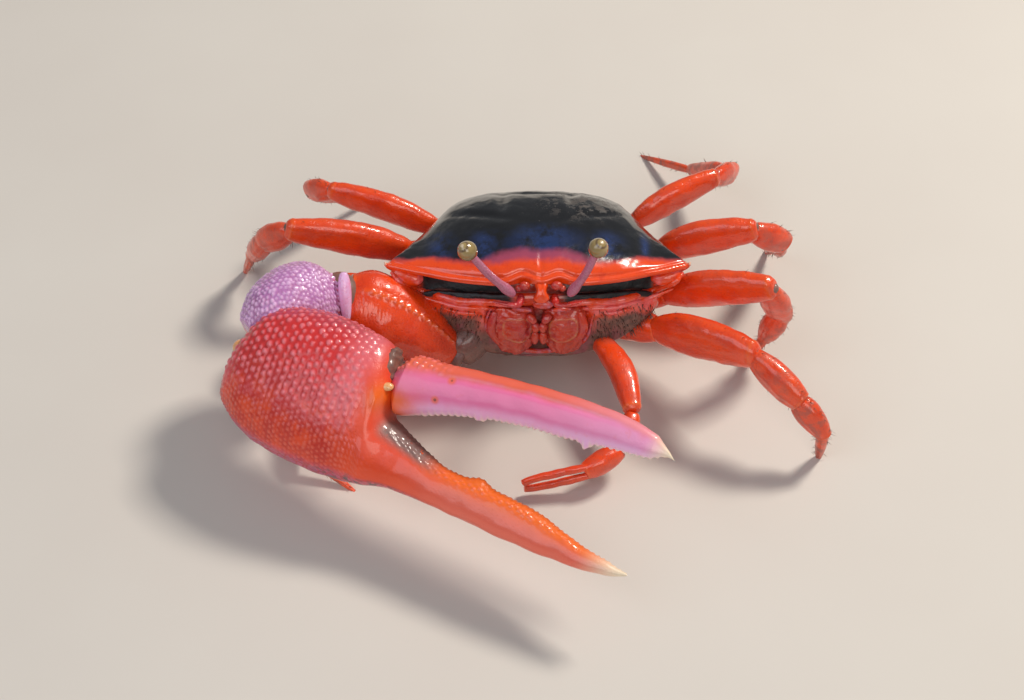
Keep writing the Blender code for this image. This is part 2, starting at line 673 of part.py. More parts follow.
def make_arm(trunk, palm):
    """The giant claw's base, merus and carpus, each cut clear of the one before."""
    socket = BODY @ ARM_SOCKET
    elbow = at_home(ARM_ELBOW)
    wrist = at_home(ARM_WRIST)
    knob = at_home(ARM_KNOB)
    upright = (wrist - elbow).cross(Vector((0.3, -0.75, 0.6))).normalized()
    level = upright.cross((wrist - elbow).normalized())
    root = socket + Vector((1.5, 1.5, 0.8))
    base = limb([root, elbow], ARM_BASE_SIZE, upright, rings=8, sides=12)
    middle = (elbow + wrist) / 2 + Vector((0.0, 0.4, 0.4))
    merus = limb(
        [elbow, middle, wrist], ARM_MERUS_SIZE, upright, rings=16, sides=16, relief=merus_relief,
    )
    crest = limb([at_home(CREST_ROOT), at_home(CREST_TIP)], CREST_SIZE, level, rings=6, sides=8)
    crown = (wrist + knob) / 2 + Vector((0.0, 0.6, 1.0))
    carpus = limb(
        [wrist + (knob - wrist) * 0.06, crown, knob],
        ARM_CARPUS_SIZE, upright, rings=16, sides=22, relief=carpus_relief,
    )
    condyle = bmesh.new()
    bmesh.ops.create_icosphere(condyle, subdivisions=2, radius=CONDYLE_RADIUS)
    bmesh.ops.translate(condyle, verts=condyle.verts, vec=at_home(CONDYLE))
    merus = combined(merus, [crest], "UNION")
    carpus = trimmed(combined(carpus, [condyle], "UNION"), palm)
    merus = trimmed(merus, carpus, palm, trunk)
    base = trimmed(base, merus, trunk)
    return base, merus, carpus


def make_small_arm(trunk):
    """The small claw, from its base to its two spoon-tipped fingers."""
    socket = BODY @ SMALL_SOCKET
    elbow = at_home(SMALL_ELBOW)
    wrist = at_home(SMALL_WRIST)
    knuckle = at_home(SMALL_KNUCKLE)
    tip = at_home(SMALL_TIP)
    across = across_of(socket, elbow)
    bow = (socket + elbow) / 2 + Vector((0.9, 0.0, 0.4))
    arm = limb([socket, bow, elbow], SMALL_MERUS_SIZE, across, rings=12, sides=12)
    carpus = limb([elbow, wrist], SMALL_CARPUS_SIZE, across, rings=8, sides=10)
    across = across_of(wrist, tip)
    palm = limb([wrist, knuckle], SMALL_PALM_SIZE, across, rings=8, sides=10)
    forward = (tip - knuckle).normalized()
    upward = across.cross(forward)
    if upward.z < 0:
        upward = -upward
    fingers = []
    for lift in (-0.5, 0.5):
        offset = upward * (SMALL_FINGER_SPREAD * 2.0 * lift)
        root = knuckle + offset * 0.95 - forward * ROOT_SINK
        middle = (knuckle + tip) / 2 + offset * 0.85
        line = [root, middle, tip + offset * 0.9]
        fingers.append(limb(line, SMALL_FINGER_SIZE, across, rings=9, sides=8, edge=1.0))
    palm = combined(palm, [fingers[0]], "UNION")
    finger = trimmed(fingers[1], palm)
    carpus = trimmed(carpus, palm)
    arm = trimmed(arm, trunk, carpus)
    return arm, carpus, palm, finger


def turned_side(before, start, end):
    """A limb segment's own level side direction, or the one before where it drops steeply."""
    run = end - start
    if Vector((run.x, run.y)).length < STEEP * run.length:
        return before
    side = across_of(start, end)
    return side if side.dot(before) >= 0.0 else -side


def past(start, end, reach):
    """A place beyond the end of a run, by a distance along it."""
    return end + (end - start).normalized() * reach


def make_leg(trunk, carapace, arm, socket, size, joints):
    """One walking leg: base, merus, carpus, propodus and dactyl with a small flat foot."""
    root = BODY @ Vector(socket)
    knee, wrist, ankle, foot = (at_home(joint) for joint in joints)
    hip = past(knee, root, -BASE_LENGTH)
    side = across_of(root, knee)
    sized = [
        [(at, thick * size, high * size) for at, thick, high in sizes]
        for sizes in (COXA_SIZE, MERUS_SIZE, CARPUS_SIZE, PROPODUS_SIZE, DACTYL_SIZE)
    ]
    lap = LAP * size
    upward = side.cross((knee - hip).normalized())
    upward *= copysign(MERUS_ARCH, upward.z)
    base = limb([past(hip, root, 2.5), past(root, hip, lap)], sized[0], side, rings=5, sides=8)
    line = [hip, (hip + knee) / 2 + upward, past(hip, knee, lap)]
    merus = limb(line, sized[1], side, rings=8, sides=10)
    side = turned_side(side, knee, wrist)
    carpus = limb([knee, past(knee, wrist, lap)], sized[2], side, rings=6, sides=8)
    side = turned_side(side, wrist, ankle)
    propodus = limb([wrist, past(wrist, ankle, lap * 0.6)], sized[3], side, rings=6, sides=8)
    side = turned_side(side, ankle, foot)
    dactyl = limb([ankle, past(ankle, foot, 0.5)], sized[4], side, rings=6, sides=6, edge=1.0)
    bmesh.ops.bisect_plane(
        dactyl, geom=dactyl.verts[:] + dactyl.edges[:] + dactyl.faces[:],
        plane_co=(0.0, 0.0, 0.0), plane_no=(0.0, 0.0, -1.0), clear_outer=True,
    )
    bmesh.ops.holes_fill(dactyl, edges=[edge for edge in dactyl.edges if edge.is_boundary])
    base = trimmed(base, trunk, carapace)
    merus = trimmed(merus, base, arm)
    carpus = trimmed(carpus, merus)
    propodus = trimmed(propodus, carpus)
    dactyl = trimmed(dactyl, propodus)
    return base, merus, carpus, propodus, dactyl


def build():
    """Make every part of the crab, then hand each one to the scene."""
    for old in list(bpy.data.objects):
        bpy.data.objects.remove(old)
    pieces = {}
    carapace = make_carapace()
    trunk = trimmed(make_trunk(), carapace)
    pieces["carapace"] = (carapace, BLACK_SHELL)
    pieces["thorax"] = (trunk, LOWER_SHELL)
    pieces["abdomen"] = (trimmed(make_abdomen(), trunk), LOWER_SHELL)
    for name, side, eye in (("r", -1, EYE_RIGHT), ("l", 1, EYE_LEFT)):
        root = Vector((side * STALK_ROOT.x, STALK_ROOT.y, STALK_ROOT.z))
        stalk = trimmed(make_stalk(side, eye), carapace, trunk)
        feeler = trimmed(make_feeler(side), trunk, carapace, stalk)
        pieces["eyestalk_" + name] = (stalk, STALK_SHELL)
        pieces["eye_" + name] = (trimmed(make_eye(eye, root), stalk), EYE_SHELL)
        pieces["antenna_" + name] = (feeler, FLAME_SHELL)
        pieces["maxilliped_" + name] = (trimmed(make_door(side), trunk), LOWER_SHELL)
    palm = make_palm()
    base, merus, carpus = make_arm(trunk, palm)
    pieces["claw_ischium"] = (base, LOWER_SHELL)
    pieces["claw_merus"] = (merus, FLAME_SHELL)
    pieces["claw_carpus"] = (carpus, LILAC_SHELL)
    pieces["claw_palm"] = (palm, CLAW_SHELL)
    pieces["claw_finger"] = (trimmed(make_finger(), palm), PINK_SHELL)
    for part, piece in zip(("arm", "wrist", "palm", "finger"), make_small_arm(trunk)):
        pieces["small_claw_" + part] = (piece, FLAME_SHELL)
    for name, (socket, size, *joints) in LEGS.items():
        for part, piece in zip(LEG_PARTS, make_leg(trunk, carapace, merus, socket, size, joints)):
            pieces[name + "_" + part] = (piece, FLAME_SHELL)
    for name, (piece, look) in pieces.items():
        finish(name, piece, look)


build()
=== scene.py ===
"""Male flame-backed fiddler crab, life size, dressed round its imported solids.

Lengths below are millimetres, and every mesh is scaled to metres when it is finished.
The crab faces -Y, its own right side and its giant claw are on -X, and +Z is up.
"""

import logging
from dataclasses import dataclass, field
from enum import Enum
from math import acos, atan2, copysign, cos, exp, pi, radians, sin, sqrt
from random import Random
from typing import Callable, Iterator, NamedTuple, Sequence

import bmesh
import bpy
from mathutils import Matrix, Vector, noise
from mathutils.bvhtree import BVHTree

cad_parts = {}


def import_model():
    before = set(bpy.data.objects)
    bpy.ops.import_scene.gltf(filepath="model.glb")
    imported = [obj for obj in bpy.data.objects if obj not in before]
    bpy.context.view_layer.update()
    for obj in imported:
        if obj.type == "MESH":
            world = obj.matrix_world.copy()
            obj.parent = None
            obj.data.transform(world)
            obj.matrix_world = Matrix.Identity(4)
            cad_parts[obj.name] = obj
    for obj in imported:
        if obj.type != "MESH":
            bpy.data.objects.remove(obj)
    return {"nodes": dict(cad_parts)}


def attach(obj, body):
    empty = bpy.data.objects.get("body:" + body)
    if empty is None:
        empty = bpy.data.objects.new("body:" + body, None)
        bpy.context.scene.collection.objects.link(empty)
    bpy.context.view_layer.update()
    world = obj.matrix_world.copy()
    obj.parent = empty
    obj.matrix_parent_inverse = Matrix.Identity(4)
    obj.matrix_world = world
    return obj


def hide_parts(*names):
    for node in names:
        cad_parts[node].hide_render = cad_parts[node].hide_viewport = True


log = logging.getLogger("fiddler_crab")

MM = 0.001
ROOT = "root"

# Where the body's middle stands, and how far its nose is lifted
HOME = Vector((1.83, 7.33, 0.0))
BODY_HEIGHT = 15.0
BODY_PITCH = radians(14.0)
BODY = (
    Matrix.Translation(HOME + Vector((0.0, 0.0, BODY_HEIGHT)))
    @ Matrix.Rotation(-BODY_PITCH, 4, "X")
)
SIDEWAYS = Vector((1.0, 0.0, 0.0))
LENGTHWAYS = Vector((0.0, 1.0, 0.0))
SIDES = (("r", -1), ("l", 1))
VIEW_ELEVATION = radians(47.0)
# How wide each bristle is on the coat's own map, and the map's margin and what it leaves
PATCH = 0.003
MAP_EDGE = 0.02
MAP_SPAN = 0.96

Colour = tuple[float, float, float, float]


def rgb(red: int, green: int, blue: int) -> Colour:
    """A screen colour of 0 to 255 as the shader's linear light.

    Args:
        red: 0 to 255.
        green: 0 to 255.
        blue: 0 to 255.

    Returns:
        The four channels.
    """
    def linear(value: int) -> float:
        """One channel in linear light."""
        share = value / 255.0
        return share / 12.92 if share <= 0.04045 else ((share + 0.055) / 1.055) ** 2.4

    return (linear(red), linear(green), linear(blue), 1.0)


def clamp(value: float, low: float = 0.0, high: float = 1.0) -> float:
    """Keep a value between two limits."""
    return max(low, min(high, value))


def smooth(low: float, high: float, value: float) -> float:
    """A soft step from 0 at low to 1 at high, which may be the lower of the two."""
    part = clamp((value - low) / (high - low))
    return part * part * (3.0 - 2.0 * part)


def bell(value: float, middle: float, width: float) -> float:
    """A soft hump of height 1 round a middle."""
    return exp(-((value - middle) / width) ** 2)


def power(value: float, exponent: float) -> float:
    """Raise a signed value to a power and keep its sign."""
    return copysign(abs(value) ** exponent, value)


def at_home(*point: float) -> Vector:
    """Move a place from the crab's middle to the model's frame."""
    return Vector(point) + HOME


def across_of(start: Vector, end: Vector) -> Vector:
    """The level direction across a limb that runs from start to end."""
    run = end - start
    return Vector((-run.y, run.x, 0.0)).normalized()


def past(start: Vector, end: Vector, reach: float) -> Vector:
    """A place beyond the end of a run, by a distance along it."""
    return end + (end - start).normalized() * reach


class Keys:
    """Stations with one or more values each, read along a smooth curve."""

    def __init__(self, *rows: Sequence[float]) -> None:
        """Keep the stations.

        Args:
            rows: each station's place and then its values, in rising order of place.
        """
        self.rows = rows
        self.seen: dict[float, tuple[float, ...]] = {}

    def at(self, place: float) -> tuple[float, ...]:
        """The values at one place.

        Args:
            place: where to read, held at the first and last stations.

        Returns:
            One value for each column.
        """
        if place not in self.seen:
            self.seen[place] = self.read(place)
        return self.seen[place]

    def read(self, place: float) -> tuple[float, ...]:
        """Work out the values at one place, as `at` describes.

        Args:
            place: where to read.

        Returns:
            One value for each column.
        """
        rows, last = self.rows, len(self.rows) - 1
        if place <= rows[0][0]:
            return tuple(rows[0][1:])
        if place >= rows[last][0]:
            return tuple(rows[last][1:])
        low = max(i for i in range(last) if rows[i][0] <= place)
        span = rows[low + 1][0] - rows[low][0]
        part = (place - rows[low][0]) / span
        square, cube = part * part, part ** 3
        values = []
        for column in range(1, len(rows[0])):
            slopes = []
            for index in (low, low + 1):
                before, after = rows[max(index - 1, 0)], rows[min(index + 1, last)]
                slopes.append((after[column] - before[column]) / (after[0] - before[0]) * span)
            values.append(
                rows[low][column] * (2 * cube - 3 * square + 1)
                + slopes[0] * (cube - 2 * square + part)
                + rows[low + 1][column] * (3 * square - 2 * cube)
                + slopes[1] * (cube - square)
            )
        return tuple(values)


class Spot(NamedTuple):
    """Where a point lies on a pulled shape.

    along runs from 0 to 1 between the poles, angle goes round, u and v are the distances
    along the shape and round it from angle 0, and half is v at the opposite side.
    """

    along: float
    angle: float
    u: float
    v: float
    half: float
    co: Vector


Place = Callable[[float, float, float], Vector]
Relief = Callable[[Spot], Sequence[float]]


def pulled(
    rings: int, sides: int, place: Place, relief: Relief | None = None, marks: Sequence[str] = (),
) -> bmesh.types.BMesh:
    """Pull a sphere out of shape and raise its surface.

    Args:
        rings: steps between the poles.
        sides: steps round, a multiple of four so that points lie at angle 0.
        place: gives each point from its along, angle and girth.
        relief: gives how far each point is raised, then a value for each mark.
        marks: names of the attributes that materials read.

    Returns:
        The closed mesh, in millimetres, with its faces outwards.
    """
    bm = bmesh.new()
    bmesh.ops.create_uvsphere(bm, u_segments=sides, v_segments=rings, radius=1.0)
    layers = [bm.verts.layers.float.new(mark) for mark in marks]
    table: dict[tuple[int, int], bmesh.types.BMVert] = {}
    for vert in bm.verts:
        ring = round(acos(clamp(-vert.co.z, -1.0)) / pi * rings)
        spoke = round(atan2(vert.co.y, vert.co.x) / (2.0 * pi) * sides)
        if 2 * spoke == -sides or ring in (0, rings):
            spoke = abs(spoke) if ring not in (0, rings) else 0
        table[ring, spoke] = vert
        vert.co = place(ring / rings, 2.0 * pi * spoke / sides, sin(pi * ring / rings))
    bm.normal_update()
    bmesh.ops.recalc_face_normals(bm, faces=bm.faces)
    bm.normal_update()
    if relief:
        moves = []
        for vert, spot in spots(table, rings, sides):
            rise, *values = relief(spot)
            moves.append((vert, vert.co + vert.normal * rise))
            for layer, value in zip(layers, values):
                vert[layer] = value
        for vert, co in moves:
            vert.co = co
        bm.normal_update()
    return bm


def spots(
    table: dict[tuple[int, int], bmesh.types.BMVert], rings: int, sides: int,
) -> Iterator[tuple[bmesh.types.BMVert, Spot]]:
    """Walk a pulled shape and measure where each of its points lies.

    Args:
        table: the points by ring and spoke.
        rings: steps between the poles.
        sides: steps round.

    Returns:
        Each point with its spot.
    """
    length = 0.0
    for ring in range(rings + 1):
        start = table.get((ring, 0)) or table[ring, 1]
        if ring:
            length += (start.co - table[ring - 1, 0].co).length
        for way in (1, -1):
            walked, before, row = 0.0, start, []
            for step in range(sides // 2 + 1):
                spoke = abs(way * step) if 2 * step == sides else way * step
                vert = table.get((ring, spoke))
                if vert is None:
                    continue
                walked += (vert.co - before.co).length
                before = vert
                row.append((vert, 2.0 * pi * way * step / sides, way * walked))
            for vert, angle, round_it in row:
                yield vert, Spot(ring / rings, angle, length, round_it, walked, vert.co.copy())


@dataclass
class Limb:
    """A closed limb segment along a smooth line, flattened across its side direction.

    sizes gives half thickness along side and half height across it, by place along.
    """

    points: Sequence[Vector]
    sizes: Keys
    side: Vector
    blunt: float = 0.3
    edge: float = 0.85
    frames: dict[float, tuple] = field(default_factory=dict)

    def __post_init__(self) -> None:
        """Lay the smooth line through the points."""
        last = len(self.points) - 1
        self.line = Keys(*[(index / last, *point) for index, point in enumerate(self.points)])

    def frame(self, along: float) -> tuple[Vector, Vector, Vector, float, float]:
        """The middle, side, upward direction and sizes of one ring.

        Args:
            along: place between the poles, 0 to 1.

        Returns:
            The middle, side, upward direction, half thickness and half height.
        """
        if along not in self.frames:
            at = (1.0 - cos(along * pi)) / 2.0
            ahead = Vector(self.line.read(min(at + 0.01, 1.0)))
            forward = (ahead - Vector(self.line.read(max(at - 0.01, 0.0)))).normalized()
            across = (self.side - forward * self.side.dot(forward)).normalized()
            centre = Vector(self.line.read(at))
            self.frames[along] = (centre, across, across.cross(forward), *self.sizes.read(at))
        return self.frames[along]

    def place(self, along: float, angle: float, girth: float) -> Vector:
        """A point of the limb, as `pulled` asks for it.

        Args:
            along: place between the poles, 0 to 1.
            angle: turn round the shape.
            girth: 1 at the middle and 0 at the poles.

        Returns:
            The point, in millimetres.
        """
        centre, across, upward, thick, high = self.frame(along)
        swell = max(girth, 0.0) ** self.blunt
        return (
            centre
            + across * (thick * swell * power(cos(angle), self.edge))
            + upward * (high * swell * power(sin(angle), self.edge))
        )

    def mesh(
        self, rings: int, sides: int, relief: Relief | None = None, marks: Sequence[str] = (),
    ) -> bmesh.types.BMesh:
        """The limb's closed mesh, with the arguments of `pulled`."""
        return pulled(rings, sides, self.place, relief, marks)


@dataclass(frozen=True)
class Knobs:
    """Rounded tubercles in uneven rows over a surface."""

    spacing: float
    radius: float
    height: float
    wander: float = 0.2
    seed: int = 1

    def dome(self, u: float, v: float) -> float:
        """How far up a tubercle a point lies.

        Args:
            u: distance along the surface.
            v: distance round it.

        Returns:
            0 between the tubercles and 1 on top of one.
        """
        pitch = self.spacing * sqrt(0.75)
        best = 0.0
        low_row = int(u // pitch)
        for row in (low_row - 1, low_row, low_row + 1):
            shift = 0.5 * (row % 2)
            low_column = int((v / self.spacing - shift) // 1)
            for column in (low_column - 1, low_column, low_column + 1):
                cell = Vector((row + 0.5, column + 0.5, self.seed + 0.5))
                stray = noise.cell_vector(cell) - Vector((0.5, 0.5, 0.5))
                centre_u = (row + 0.5 + stray.x * self.wander * 2.0) * pitch
                centre_v = (column + shift + 0.5 + stray.y * self.wander * 2.0) * self.spacing
                size = self.radius * (1.0 + stray.z * 0.5)
                gap = ((u - centre_u) ** 2 + (v - centre_v) ** 2) / (size * size)
                if gap < 1.0:
                    best = max(best, (1.0 - gap) ** 0.8 * (1.0 + stray.z * 0.4))
        return min(best, 1.0)


def joined(parts: Sequence[bmesh.types.BMesh]) -> bmesh.types.BMesh:
    """Put several meshes into the first one, which keeps their attributes.

    Args:
        parts: the meshes, all but the first of which are freed.

    Returns:
        The first mesh.
    """
    first = parts[0]
    for part in parts[1:]:
        mesh = bpy.data.meshes.new("part_work")
        part.to_mesh(mesh)
        first.from_mesh(mesh)
        bpy.data.meshes.remove(mesh)
        part.free()
    return first


def ball(
    centre: Vector, radius: float, detail: int = 3, stretch: Vector | None = None,
) -> bmesh.types.BMesh:
    """A round bead, stretched along the axes where asked.

    Args:
        centre: its middle.
        radius: before it is stretched.
        detail: how often its faces are divided.
        stretch: factors along the axes.

    Returns:
        The closed mesh, in millimetres.
    """
    bm = bmesh.new()
    bmesh.ops.create_icosphere(bm, subdivisions=detail, radius=radius)
    if stretch:
        bmesh.ops.scale(bm, vec=stretch, verts=bm.verts)
    bmesh.ops.translate(bm, verts=bm.verts, vec=centre)
    return bm


def put(
    name: str, bm: bmesh.types.BMesh, finish: "Finish", nodes: Sequence[str] = (),
) -> None:
    """Finish a mesh as a piece of the model, which rides on the body.

    Args:
        name: the piece's name.
        bm: its mesh in millimetres, which is freed.
        finish: its surface finish.
        nodes: the solids that it stands for.
    """
    bmesh.ops.scale(bm, vec=(MM, MM, MM), verts=bm.verts)
    bm.normal_update()
    bmesh.ops.recalc_face_normals(bm, faces=bm.faces)
    mesh = bpy.data.meshes.new(name)
    bm.to_mesh(mesh)
    bm.free()
    mesh.shade_smooth()
    obj = bpy.data.objects.new(name, mesh)
    bpy.context.scene.collection.objects.link(obj)
    mesh.materials.append(finish.material())
    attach(obj, ROOT)
    if nodes:
        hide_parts(*nodes)


class Wire:
    """One value socket of a shader, on which arithmetic adds Math nodes."""

    def __init__(self, graph: "Graph", socket: bpy.types.NodeSocket) -> None:
        """Wrap a socket of a graph."""
        self.graph = graph
        self.socket = socket

    def math(self, operation: str, *values: "Wire | float") -> "Wire":
        """Add one Math node on this value and others, in the order given."""
        node = self.graph.node("ShaderNodeMath", {"operation": operation}, dict(enumerate(values)))
        return Wire(self.graph, node.outputs[0])

    def __add__(self, other: "Wire | float") -> "Wire":
        """Sum."""
        return self.math("ADD", self, other)

    def __sub__(self, other: "Wire | float") -> "Wire":
        """Difference."""
        return self.math("SUBTRACT", self, other)

    def __rsub__(self, other: "Wire | float") -> "Wire":
        """Difference from a number."""
        return self.math("SUBTRACT", other, self)

    def __mul__(self, other: "Wire | float") -> "Wire":
        """Product."""
        return self.math("MULTIPLY", self, other)

    def __truediv__(self, other: "Wire | float") -> "Wire":
        """Quotient."""
        return self.math("DIVIDE", self, other)

    __radd__ = __add__
    __rmul__ = __mul__

    def most(self, other: "Wire | float") -> "Wire":
        """The larger of two values."""
        return self.math("MAXIMUM", self, other)

    def step(self, low: float, high: float) -> "Wire":
        """A soft step from 0 at low to 1 at high, which may be the lower of the two.

        Args:
            low: where it starts.
            high: where it ends.

        Returns:
            The step.
        """
        settings = {"interpolation_type": "SMOOTHSTEP", "clamp": True}
        values = {"Value": self, "From Min": low, "From Max": high}
        if low > high:
            values = {"Value": self, "From Min": high, "From Max": low, "To Min": 1.0, "To Max": 0.0}
        return Wire(self.graph, self.graph.node("ShaderNodeMapRange", settings, values).outputs[0])


class Graph:
    """A material's node tree with one Principled shader."""

    def __init__(self, name: str) -> None:
        """Start a material of that name.

        Args:
            name: the material's name.
        """
        self.material = bpy.data.materials.new(name)
        self.material.use_nodes = True
        self.tree = self.material.node_tree
        self.shader = self.tree.nodes["Principled BSDF"]
        self.place = self.node("ShaderNodeTexCoord", {}, {}).outputs["Object"]

    def node(self, kind: str, settings: dict, values: dict) -> bpy.types.Node:
        """Add a node.

        Args:
            kind: the node's type.
            settings: attributes that are set first.
            values: numbers, colours, sockets or wires by the input's name or number.

        Returns:
            The new node.
        """
        node = self.tree.nodes.new(kind)
        for name, value in settings.items():
            setattr(node, name, value)
        for name, value in values.items():
            self.feed(node.inputs[name], value)
        return node

    def feed(self, socket: bpy.types.NodeSocket, value: object) -> None:
        """Link a socket to a wire or another socket, or set its value.

        Args:
            socket: the socket to fill.
            value: a wire, a socket, or a number or colour.
        """
        if isinstance(value, Wire):
            value = value.socket
        if isinstance(value, bpy.types.NodeSocket):
            self.tree.links.new(value, socket)
        else:
            socket.default_value = value

    def mark(self, name: str) -> Wire:
        """A named value that the mesh carries."""
        node = self.node("ShaderNodeAttribute", {"attribute_name": name}, {})
        return Wire(self, node.outputs["Fac"])

    def grain(self, size: float, detail: float = 2.0, rough: float = 0.5, seed: float = 0.0) -> Wire:
        """Cloudy noise whose features are about a size in millimetres across.

        Args:
            size: of its features, in millimetres.
            detail: how many finer layers it has.
            rough: how strong the finer layers are.
            seed: picks another pattern.

        Returns:
            The noise, 0 to 1.
        """
        values = {"Vector": self.place, "W": seed, "Scale": 1.0 / (size * MM)}
        values |= {"Detail": detail, "Roughness": rough}
        node = self.node("ShaderNodeTexNoise", {"noise_dimensions": "4D"}, values)
        return Wire(self, node.outputs[0])

    def cells(self, size: float, feature: str = "F1") -> Wire:
        """Distance to the nearest of scattered points, or to a cell's edge.

        Args:
            size: of its cells, in millimetres.
            feature: which distance.

        Returns:
            The distance.
        """
        node = self.node(
            "ShaderNodeTexVoronoi", {"feature": feature},
            {"Vector": self.place, "Scale": 1.0 / (size * MM)},
        )
        return Wire(self, node.outputs["Distance"])

    def distance(self, point: Vector) -> Wire:
        """Distance in millimetres from a place in the model's frame.

        Args:
            point: the place, in millimetres.

        Returns:
            The distance.
        """
        node = self.node(
            "ShaderNodeVectorMath", {"operation": "DISTANCE"}, {0: self.place, 1: point * MM},
        )
        return Wire(self, node.outputs["Value"]) / MM

    def mix(self, share: "Wire | float", first: object, second: object) -> bpy.types.NodeSocket:
        """Blend from one colour to another by a share."""
        node = self.node("ShaderNodeMix", {"data_type": "RGBA"}, {0: share, 6: first, 7: second})
        return node.outputs[2]

    def bump(self, height: Wire, depth: float) -> None:
        """Press a height pattern of 0 to 1 into the surface, to a depth in millimetres.

        Args:
            height: the pattern.
            depth: how deep it goes.
        """
        node = self.node(
            "ShaderNodeBump", {}, {"Height": height, "Distance": depth * MM, "Strength": 1.0},
        )
        self.feed(self.shader.inputs["Normal"], node.outputs[0])

    def surface(self, **values: object) -> bpy.types.Material:
        """Set the shader's sockets by name, with _ for a space, and hand over the material.

        Args:
            values: each socket's wire, number or colour.

        Returns:
            The material.
        """
        for name, value in values.items():
            self.feed(self.shader.inputs[name.replace("_", " ")], value)
        return self.material


class Tint(Enum):
    """Colours read from the crab, each named for where it shows."""

    BLACK = rgb(8, 8, 12)
    BLUE = rgb(32, 54, 104)
    PLUM = rgb(160, 66, 92)
    FLAME = rgb(236, 72, 16)
    EMBER = rgb(198, 36, 10)
    ORANGE = rgb(242, 108, 24)
    ROSE = rgb(208, 46, 46)
    BLUSH = rgb(240, 124, 134)
    PINK = rgb(238, 118, 166)
    SALMON = rgb(236, 104, 80)
    LILAC = rgb(186, 122, 182)
    LAVENDER = rgb(236, 190, 232)
    CREAM = rgb(240, 220, 190)
    APRICOT = rgb(232, 176, 118)
    STALK = rgb(192, 124, 152)
    CORNEA = rgb(96, 78, 40)
    GOLD = rgb(178, 154, 100)
    HIDE = rgb(132, 92, 80)
    MUD = rgb(104, 96, 92)
    BRISTLE = rgb(84, 60, 50)
    MOUTH = rgb(200, 58, 32)
    FLOOR = rgb(214, 209, 201)


@dataclass(frozen=True)
class Finish:
    """A surface finish that makes its material once."""

    name: str

    def material(self) -> bpy.types.Material:
        """The finish's material."""
        return bpy.data.materials.get(self.name) or self.paint(Graph(self.name))

    def paint(self, graph: Graph) -> bpy.types.Material:
        """Wire up the material.

        Args:
            graph: an empty material of the finish's name.

        Returns:
            The finished material.
        """
        raise NotImplementedError


@dataclass(frozen=True)
class Shell(Finish):
    """Wet hard shell: clouds of two colours, specks, pale knobs, a tinted rim and mud."""

    base: Tint = Tint.FLAME
    deep: Tint = Tint.EMBER
    knob: Tint = Tint.BLUSH
    rim: Tint = Tint.ORANGE
    rough: float = 0.24
    mud: float = 0.0
    pore: float = 0.32

    def paint(self, graph: Graph) -> bpy.types.Material:
        """Wire up the shell.

        Args:
            graph: an empty material of the finish's name.

        Returns:
            The finished material.
        """
        clouds = graph.grain(3.0, 3.0, 0.6).step(0.42, 0.68)
        colour = graph.mix(clouds * 0.4, self.base.value, self.deep.value)
        pores = graph.cells(self.pore).step(0.42, 0.12)
        colour = graph.mix(pores * 0.35, colour, self.deep.value)
        specks = graph.grain(0.22, 2.0, 0.6, 4.0).step(0.6, 0.74)
        colour = graph.mix(specks * 0.3, colour, self.rim.value)
        colour = graph.mix(graph.mark("rim"), colour, self.rim.value)
        colour = graph.mix(graph.mark("knob") * 0.9, colour, self.knob.value)
        dirt = graph.mark("mud") * self.mud * graph.grain(1.6, 5.0, 0.65, 9.0).step(0.44, 0.62)
        colour = graph.mix(dirt, colour, Tint.MUD.value)
        graph.bump(graph.grain(0.5, 4.0, 0.6, 2.0) - pores * 0.4 + dirt * 0.6, 0.05)
        return graph.surface(
            Base_Color=colour,
            Roughness=graph.grain(1.1, 3.0, 0.5, 6.0) * 0.22 + self.rough - 0.08 + dirt * 0.4,
            Coat_Weight=0.7 - dirt * 0.6,
            Coat_Roughness=0.06,
        )


@dataclass(frozen=True)
class BackShell(Finish):
    """The carapace: black, then blue, plum and flame towards the front margin."""

    flame_side: float = 2.6
    flame_corner: float = 1.3
    flame_middle: float = 3.0
    plum_middle: float = 4.3

    def paint(self, graph: Graph) -> bpy.types.Material:
        """Wire up the bands by distance from the front margin.

        Args:
            graph: an empty material of the finish's name.

        Returns:
            The finished material.
        """
        reach = graph.mark("reach") + (graph.grain(1.6, 4.0, 0.6) - 0.5) * 1.3
        flank = graph.mark("flank")
        flame = flank.step(0.1, 0.5) * (self.flame_side - self.flame_middle) + self.flame_middle
        flame = flame + flank.step(0.72, 0.96) * (self.flame_corner - self.flame_side)
        plum = flank.step(0.42, 0.2) * (self.plum_middle - self.flame_middle) + flame
        blue = graph.mark("blue") * graph.grain(1.7, 4.0, 0.65, 3.0).step(0.3, 0.6)
        colour = graph.mix(blue * 0.85, Tint.BLACK.value, Tint.BLUE.value)
        colour = graph.mix((reach - plum).step(0.7, -0.7), colour, Tint.PLUM.value)
        low = (reach - flame).step(0.5, -0.7)
        colour = graph.mix(low, colour, Tint.FLAME.value)
        speck = graph.grain(0.16, 2.0, 0.6, 8.0).step(0.5, 0.7)
        colour = graph.mix(low * speck * 0.25, colour, Tint.ORANGE.value)
        ember = graph.grain(0.9, 3.0, 0.6, 5.0).step(0.52, 0.7)
        colour = graph.mix(low * ember * 0.4, colour, Tint.EMBER.value)
        colour = graph.mix(graph.mark("rim") * 0.7, colour, Tint.CREAM.value)
        smear = graph.distance(at_home(5.5, 4.5, 19.5)).step(7.0, 2.5)
        smear = smear * graph.grain(1.3, 6.0, 0.72, 7.0).step(0.5, 0.6)
        flecks = graph.grain(0.45, 3.0, 0.6, 11.0).step(0.69, 0.75) * 0.5
        dirt = smear.most(flecks) * (1.0 - low)
        colour = graph.mix(dirt * 0.75, colour, Tint.MUD.value)
        graph.bump(graph.grain(0.8, 5.0, 0.6, 2.0) + dirt * 0.5, 0.05)
        return graph.surface(
            Base_Color=colour,
            Roughness=graph.grain(2.0, 4.0, 0.6, 6.0) * 0.22 + 0.12 + dirt * 0.4,
            Coat_Weight=0.75 - dirt * 0.7,
            Coat_Roughness=0.06,
        )


